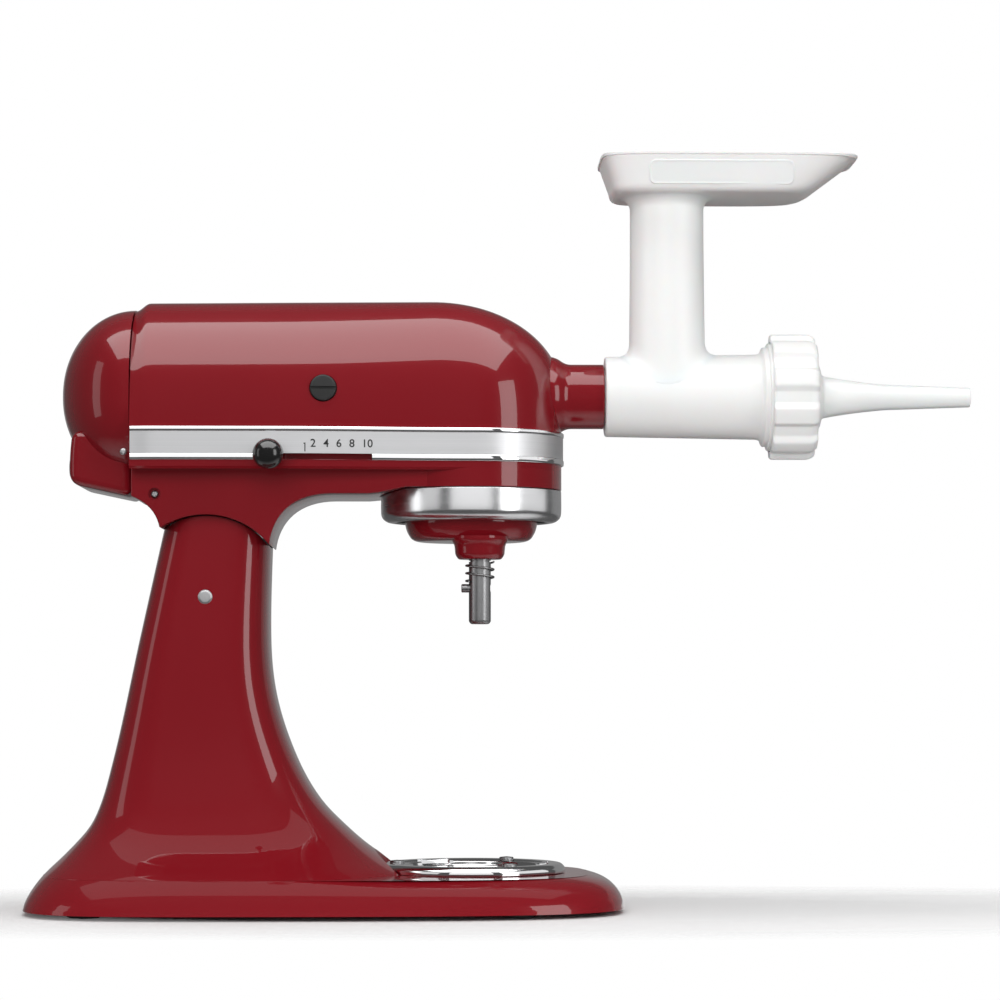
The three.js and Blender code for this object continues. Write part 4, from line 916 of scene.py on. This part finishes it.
# ------------------------------------------------------------------ grinding attachment
def feed_tube():
    """Round tube that grows out of the barrel in a fillet and flares a little under the tray."""
    top = TRAY_FLOOR - 0.03
    rings = []
    # from the flared top down the tube
    for i in range(13):
        a = math.radians(90 * i / 12)
        rings.append([(FEED_R + 7 * (1 - math.sin(a)), top - 7 * (1 - math.cos(a)))] * 144)
    for i in range(1, 14):
        z = mix(top - 7, HUB_Z + 36, i / 13)
        rings.append([(FEED_R + 0.6 * (i / 13) ** 2, z)] * 144)
    foot = []
    start_r = FEED_R + 0.6
    for k in range(144):
        turn = 2 * math.pi * k / 144
        side = abs(math.sin(turn))
        out = mix(7.5, 1.2, side ** 3)
        end_r = start_r + out
        # the barrel widens a little towards its mouth
        barrel_r = mix(23.5, 25.0, (FEED_X + end_r * math.cos(turn) - BARREL_START) / (149 - BARREL_START))
        level = math.sqrt(barrel_r ** 2 - (end_r * side) ** 2)
        slope = end_r * side ** 2 / level
        foot.append((out, HUB_Z + level + slope * out, HUB_Z + level - 0.05, mix(8.0, 10.0, side)))
    for i in range(17):
        t = i / 16
        ring = []
        for out, corner_z, end_z, rise in foot:
            a, b, c = (1 - t) ** 2, 2 * t * (1 - t), t * t
            ring.append((start_r + out * c, (corner_z + rise) * a + corner_z * b + end_z * c))
        rings.append(ring)
    rings.append([(start_r + out * 0.6, end_z - 2.5) for out, corner_z, end_z, rise in foot])
    placed = []
    for ring in rings:
        angles = (2 * math.pi * k / 144 for k in range(144))
        placed.append([(FEED_X + r * math.cos(a), r * math.sin(a), z) for a, (r, z) in zip(angles, ring)])
    return skin("feed_tube", placed)


def grinder_body():
    start, end = BARREL_START, 160.0
    corners = [(8.2, 36, 0), (15.4, 36, 0.5), (15.9, 38, 0.3), (15.9, start, 0), (22.7, start, 0.4),
               (23.5, start + 0.9, 0.5), (25.0, 149, 0), (25.6, 151.2, 1.2), (29.2, 152.6, 0.7),
               (29.2, 155.2, 0.3), (31.6, 155.6, 0.5), (31.6, 158.6, 0.5), (29.6, 159.4, 0.3),
               (29.6, 170.5, 0.5), (27.9, 170.5, 0.3),
               (27.9, end + 3, 0), (20.5, end + 3, 0.3), (20.5, 68, 0.6), (8.2, 68, 0), (8.2, 36, 0)]
    barrel = turned("barrel", corners, (0, 0, HUB_Z), "X", 144)
    tube = feed_tube()
    for shell, name in ((barrel, "throat_low"), (tube, "throat_high")):
        carve(shell, rod(name, FEED_R - 2.6, HUB_Z + 4, TRAY_FLOOR + 4, (FEED_X, 0, 0), "Z", 0, 96))
    carve(tube, rod("chamber", 20.5, 60, end + 2, (0, 0, HUB_Z), "X", 0, 96))
    return together("grinder_shell", smooth(barrel, 34), smooth(tube, 34))


def tray_ring(z, back, front, half, count=160):
    return outline(z, back, front, half, 6, 5, 115, count)


def tray_wall(t, inset=0.0):
    """Outline of the tray's wall, from the edge of its floor at 0 to its rim at 1."""
    z = mix(TRAY_FLOOR + 5, TRAY_RIM, t)
    return z, mix(63.6, 57.6, t) + inset, mix(184, 207.6, t) - inset, mix(37, 42, t) - inset


def hopper_tray():
    """Open tray: rolled rim, sloping front and a spigot below that plugs into the feed tube."""
    # height above the floor or below the rim, back, front and half width
    corner = [(0, 72, 150, 25), (0, 67.8, 171, 31), (0.25, 66.6, 174.5, 32.6), (1.0, 65.2, 177.2, 34.4),
              (2.2, 64.3, 179.8, 35.8), (3.6, 63.8, 182.2, 36.6), (5, 63.6, 184, 37)]
    lip = [(2.0, 57.4, 207.0, 42.3), (0.7, 57.3, 207.9, 42.5), (0.15, 57.6, 207.9, 42.2),
           (0, 58.3, 207.2, 41.5), (0.1, 59.2, 206.0, 40.7), (0.7, 59.9, 204.8, 40.1)]
    outer = [(TRAY_FLOOR + up, *reach) for up, *reach in corner]
    outer += [tray_wall(i / 8) for i in range(1, 8)]
    outer += [(TRAY_RIM - down, *reach) for down, *reach in lip]
    outer += [tray_wall(i / 8, 2.3) for i in range(7, 0, -1)]
    inner_floor = TRAY_FLOOR + 2.4
    for deg in range(90, 0, -18):
        a = math.radians(deg)
        t = math.sin(a)
        z = inner_floor + 4.2 * (1 - math.cos(a))
        outer.append((z, mix(70, 65.9, t), mix(172, 181, t), mix(29.6, 34.7, t)))
    outer.append((inner_floor, 72, 160, 26))
    tray = skin("tray", [tray_ring(*ring) for ring in outer])
    spigot_r = FEED_R - 3.2
    corners = [(0, 400, 0), (spigot_r, 400, 0.8), (spigot_r, 417, 0), (0, 417, 0)]
    spigot = turned("spigot", corners, (FEED_X, 0, 0))
    carve(tray, spigot, operation="UNION")
    carve(tray, rod("mouth", spigot_r - 1.8, 396, 426, (FEED_X, 0, 0), "Z", 0, 96))
    return smooth(tray, 34)


def tray_panel():
    """Raised blank panel with rounded corners on the side of the tray."""
    panels = []
    for side in (-1, 1):
        corners = [(126, 419.6, 0), (84.5, 419.6, 4), (84.5, 433.4, 4), (168.5, 433.4, 4), (168.5, 419.6, 4),
                   (126, 419.6, 0)]
        shape = rounded(corners, 6)[:-1]
        rings = []
        for proud, shrink in ((-1.0, 0.0), (0.45, 0.0), (0.8, 0.35), (0.8, 0.7), (0.45, 1.3), (0.45, 1.7)):
            ring = []
            for x, z in shape:
                z = mix(z, 426.5, shrink / 7)
                x = mix(x, 126.5, shrink / 42)
                t = (z - TRAY_FLOOR - 5) / (TRAY_RIM - TRAY_FLOOR - 5)
                _, back, front, half = tray_wall(t)
                reach = (front - 115) if x > 115 else (115 - back)
                square = 5 if x > 115 else 6
                wide = half * max(0.0, 1 - abs((x - 115) / reach) ** square) ** (1 / square)
                ring.append((x, side * (wide + proud), z))
            rings.append(ring)
        panels.append(skin(f"panel_{side}", rings))
    return smooth(together("tray_panels", *panels), 50)


def ring_nut():
    """Gripping nut with ten broad lobes, blended into hollows, and a chamfered front."""
    start, end = low("ring_nut").x, high("ring_nut").x
    outer_r = 36.8

    def radius(turn, shrink):
        wave = 0.5 - 0.5 * math.cos(2 * math.pi * ((turn + 0.11) % 1.0))
        lobe = ease((0.5 - abs(((turn - 0.12) % 1.0) - 0.5)) / 0.5 * 2.6 - 0.9)
        return outer_r - 2.9 * lobe - 0.15 * wave - shrink

    # station and how far the lobes shrink there, then the plain bore as station and radius
    lobed = [(start, 1.6), (start + 0.25, 0.7), (start + 0.9, 0.15), (start + 1.8, 0), (end - 5.4, 0),
             (end - 3.6, 0.25), (end - 1.6, 1.1), (end - 0.5, 2.0), (end, 3.1)]
    plain = [(end - 0.1, 30.5), (end - 1.2, 29.2), (end - 1.6, 24.5), (end - 0.9, 23.4), (end - 1.6, 22.6),
             (end - 4.5, 22.6), (end - 4.5, 30.1), (160, 30.1), (160, 32.3), (start, 32.3)]
    count = 400
    lobes = 10
    around = [2 * math.pi * k / count for k in range(count)]
    radii = [[radius(k * lobes / count, shrink) for k in range(count)] for _, shrink in lobed]
    radii += [[r] * count for _, r in plain]
    rings = []
    for (x, _), ring in zip(lobed + plain, radii):
        rings.append([(x, -r * math.sin(a), HUB_Z + r * math.cos(a)) for a, r in zip(around, ring)])
    return smooth(skin("ring_nut_lobed", rings, looped=True), 34)


def stuffer_tube():
    tip = high("stuffer_tube").x
    corners = [(18, 172.8, 0.4), (29.6, 172.8, 0.4), (29.6, 178.6, 0.5), (22.2, 178.8, 1), (21.4, 183.0, 1.5),
               (19.6, 186.0, 4), (12.7, 187.6, 3)]
    for i in range(1, 21):
        t = i / 20
        corners.append((12.4 * (1 - t) ** 2 + 9.0 * 2 * t * (1 - t) + 7.5 * t * t, mix(188.4, 225, t), 0))
    corners += [(5.75, tip - 0.5, 0.5), (5.3, tip, 0.4), (4.8, tip - 0.2, 0.3), (4.6, tip - 3, 0),
                (6.3, 225, 0), (6.9, 210, 0), (10.6, 189, 3), (18, 180, 3), (18, 172.8, 0)]
    return turned("stuffer_nozzle", corners, (0, 0, HUB_Z), "X", 128)


# ------------------------------------------------------------------ the pieces on their bodies
def build_stand():
    place(stand_casting(), "stand", ENAMEL, "red_enamel", "base_casting", "column")
    # painted shade: a dark strip in the gap between the column top and the neck, standing in for its shadow
    place(saddle_shade_strip(), "stand", RUBBER, "rubber")
    place(bowl_plate(), "stand", CHROME, "chrome", "bowl_clamp_plate")
    for i in (1, 2, 3):
        node = f"clamp_screw_{i}"
        at = centre(node)
        top = high(node).z
        screw = slotted_screw(f"plate_screw_{i}", 4.2, top - 0.1, 2.4, (at.x, at.y, 0))
        place(screw, "stand", STEEL, "steel", node)
    for i in range(1, 6):
        node = f"foot_{i}"
        at = centre(node)
        place(foot(f"rubber_foot_{i}", (at.x, at.y, 0)), "stand", RUBBER, "rubber", node)
    place(hinge_pin(), "stand", PIN, "satin_metal", "hinge_pin")


def build_head():
    place(head_casing(), "head", ENAMEL, "red_enamel", "head_casing")
    field, lips = trim_band()
    place(field, "head", BAND, "chrome", "trim_band")
    place(lips, "head", LIP, "chrome")
    place(dial_marks(), "head", INK, "black_plastic")
    place(end_cover(), "head", ENAMEL, "red_enamel", "end_cover")
    place(cord_inlet(), "head", RUBBER, "rubber", "cord_grommet")
    place(case_screws(), "head", PIN, "satin_metal")
    place(brush_cap("brush_cap_near", -1), "head", CAP, "black_plastic", "brush_cap_right")
    place(brush_cap("brush_cap_far", 1), "head", CAP, "black_plastic", "brush_cap_left")
    place(drip_ring(), "head", RING, "chrome", "drip_ring")
    for name, node, radius, side, body in (("speed_ball", "speed_knob", 8.8, -1, "speed_control"),
                                           ("lock_ball", "lock_knob", 6.7, 1, "tilt_lock")):
        place(ball_knob(name, node, radius, side), body, BLACK, "black_plastic", node)
    place(hub_screw(), "hub_screw", BLACK, "black_plastic", "hub_knob")


def build_planetary():
    place(planetary(), "planetary_hub", ENAMEL, "red_enamel", "planetary")
    place(beater_shaft(), "beater", STEEL, "steel", "beater_shaft")
    place(beater_pin(), "beater", STEEL, "steel", "beater_pin")
    spring = coil_spring("beater_spring_wound", "beater_spring", 0.6, 2.6)
    place(spring, "beater", STEEL, "steel", "beater_spring")


def build_grinder():
    place(grinder_body(), "grinder", WHITE, "white_plastic", "grinder_body")
    place(hopper_tray(), "tray", WHITE, "white_plastic", "hopper_tray")
    place(tray_panel(), "tray", WHITE, "white_plastic")
    place(ring_nut(), "nut", WHITE, "white_plastic", "ring_nut")
    place(stuffer_tube(), "stuffer", WHITE, "white_plastic", "stuffer_tube")


def finish_inner_parts():
    """Materials of the working parts that keep their plain shapes."""
    chosen = {
        "stator_core": SHEETS, "rotor_core": SHEETS, "field_coils": WINDING, "commutator": WINDING,
        "governor": BRONZE, "worm_wheel": BRONZE, "motor_bulkhead": CASTING, "rear_bearing_bracket": CASTING,
        "transmission_plate": CASTING, "lower_gearcase": CASTING, "cooling_fan": CAP, "auger": WHITE,
        "carbon_brush_right": CARBON, "carbon_brush_left": CARBON, "knife": GROUND, "grinding_plate": GROUND,
        "speed_lever": GROUND, "lock_lever": GROUND, "armature_shaft": GROUND, "hub_shaft": GROUND,
    }
    for name, node in frame["nodes"].items():
        paint(node, chosen.get(name, STEEL))


def studio():
    """Pale sweep, large soft lights and the camera."""
    reach = 4000
    corners = [(x * reach, y * reach, -0.3) for x, y in ((-1, -1), (1, -1), (1, 1), (-1, 1))]
    floor = mesh_piece("studio_floor", corners, (), [(0, 1, 2, 3)])
    paint(floor, PAPER)

    world = bpy.context.scene.world or bpy.data.worlds.new("studio")
    bpy.context.scene.world = world
    world.use_nodes = True
    tree = world.node_tree
    room = tree.nodes["Background"]
    room.inputs["Color"].default_value = (1.0, 1.0, 1.0, 1)
    room.inputs["Strength"].default_value = 0.10
    backdrop = tree.nodes.new("ShaderNodeBackground")
    backdrop.inputs["Color"].default_value = (1.0, 1.0, 1.0, 1)
    seen = tree.nodes.new("ShaderNodeLightPath")
    either = tree.nodes.new("ShaderNodeMixShader")
    tree.links.new(seen.outputs["Is Camera Ray"], either.inputs[0])
    tree.links.new(room.outputs[0], either.inputs[1])
    tree.links.new(backdrop.outputs[0], either.inputs[2])
    tree.links.new(either.outputs[0], tree.nodes["World Output"].inputs["Surface"])

    upper = bpy.data.collections.new("lit_from_above")
    pedestal = bpy.data.collections.new("pedestal_only")
    bright = bpy.data.collections.new("bright_metal")
    white = bpy.data.collections.new("white_plastic_only")
    for piece in bpy.context.scene.objects:
        if piece.type == "MESH":
            (pedestal if piece.name == "stand_casting" else upper).objects.link(piece)
            if piece.data.materials[0] in (CHROME, LIP, BAND, RING, PIN, STEEL):
                bright.objects.link(piece)
            if piece.data.materials[0] == WHITE:
                white.objects.link(piece)

    def soft_light(name, at, towards, wide, tall, watts, reflected=True, receivers=None, scattered=True):
        deselect()
        bpy.ops.object.light_add(type="AREA", location=Vector(at) * MM)
        lamp = bpy.context.object
        lamp.name = name
        lamp.data.shape = "RECTANGLE"
        lamp.data.size, lamp.data.size_y = wide * MM, tall * MM
        lamp.data.energy = watts
        aim = Vector(towards) - Vector(at)
        lamp.rotation_euler = aim.to_track_quat("-Z", "Y").to_euler()
        lamp.visible_camera = False
        lamp.visible_glossy = reflected
        lamp.visible_diffuse = scattered
        if receivers:
            lamp.light_linking.receiver_collection = receivers

    # reflected in the paint
    soft_light("overhead_card", (-40, -560, 1300), (-40, -560, 200), 1900, 1270, 26, True, upper, False)
    soft_light("overhead_low", (-40, -190, 1300), (-40, -100, 200), 1900, 760, 2.2, True, pedestal)
    soft_light("front_strip", (948, -870, 450), (0, 0, 260), 500, 900, 4.2)
    soft_light("rear_strip", (-1500, -420, 420), (-180, 0, 200), 380, 1100, 1.4)
    soft_light("far_card", (600, 2300, 500), (0, 0, 300), 4200, 1400, 3, True, None, False)
    # reflected in the bright metal
    soft_light("metal_card", (-43, -2600, 1200), (-43, 0, 1200), 2600, 2400, 20, True, bright)
    soft_light("metal_card_rear", (-2300, -1300, 900), (0, 0, 240), 2000, 1800, 8, True, bright)
    soft_light("metal_card_front", (2400, -500, 900), (0, 0, 240), 3000, 1800, 14, True, bright)
    # general light
    soft_light("overhead_soft", (-40, -190, 1300), (-40, -100, 200), 1900, 760, 9, False, upper)
    soft_light("front_fill", (-300, -2000, 900), (0, 0, 200), 1500, 1000, 20, False)
    soft_light("low_fill", (-200, -1700, 160), (0, 0, 260), 1600, 300, 6, False, upper)
    soft_light("white_fill", (-500, -1700, 200), (120, 0, 320), 1500, 400, 1.5, False, white)
    soft_light("white_rear", (-1700, -900, 350), (110, 0, 300), 900, 700, 7, True, white)
    soft_light("white_front", (1900, -900, 350), (110, 0, 300), 900, 700, 5, True, white)
    soft_light("back_fill", (0, 900, 1300), (0, 0, 200), 1600, 700, 8, False)
    soft_light("pedestal_fill", (-300, -900, 1300), (-100, 0, 100), 1600, 700, 11, False, pedestal)
    bpy.context.scene.view_settings.view_transform = "Standard"

    camera_data = bpy.data.cameras.new("camera")
    camera = bpy.data.objects.new("camera", camera_data)
    bpy.context.scene.collection.objects.link(camera)
    camera_data.lens = 122.09
    camera_data.clip_end = 40
    eye = Vector((-43.4, -1983.3, 135.2)) * MM
    yaw, pitch = math.radians(1.2214), math.radians(2.9775)
    ahead = Vector((math.sin(yaw) * math.cos(pitch), math.cos(yaw) * math.cos(pitch), math.sin(pitch)))
    camera.location = eye
    camera.rotation_euler = ahead.to_track_quat("-Z", "Y").to_euler()
    bpy.context.scene.camera = camera


finish_inner_parts()
build_stand()
build_head()
build_planetary()
build_grinder()
studio()
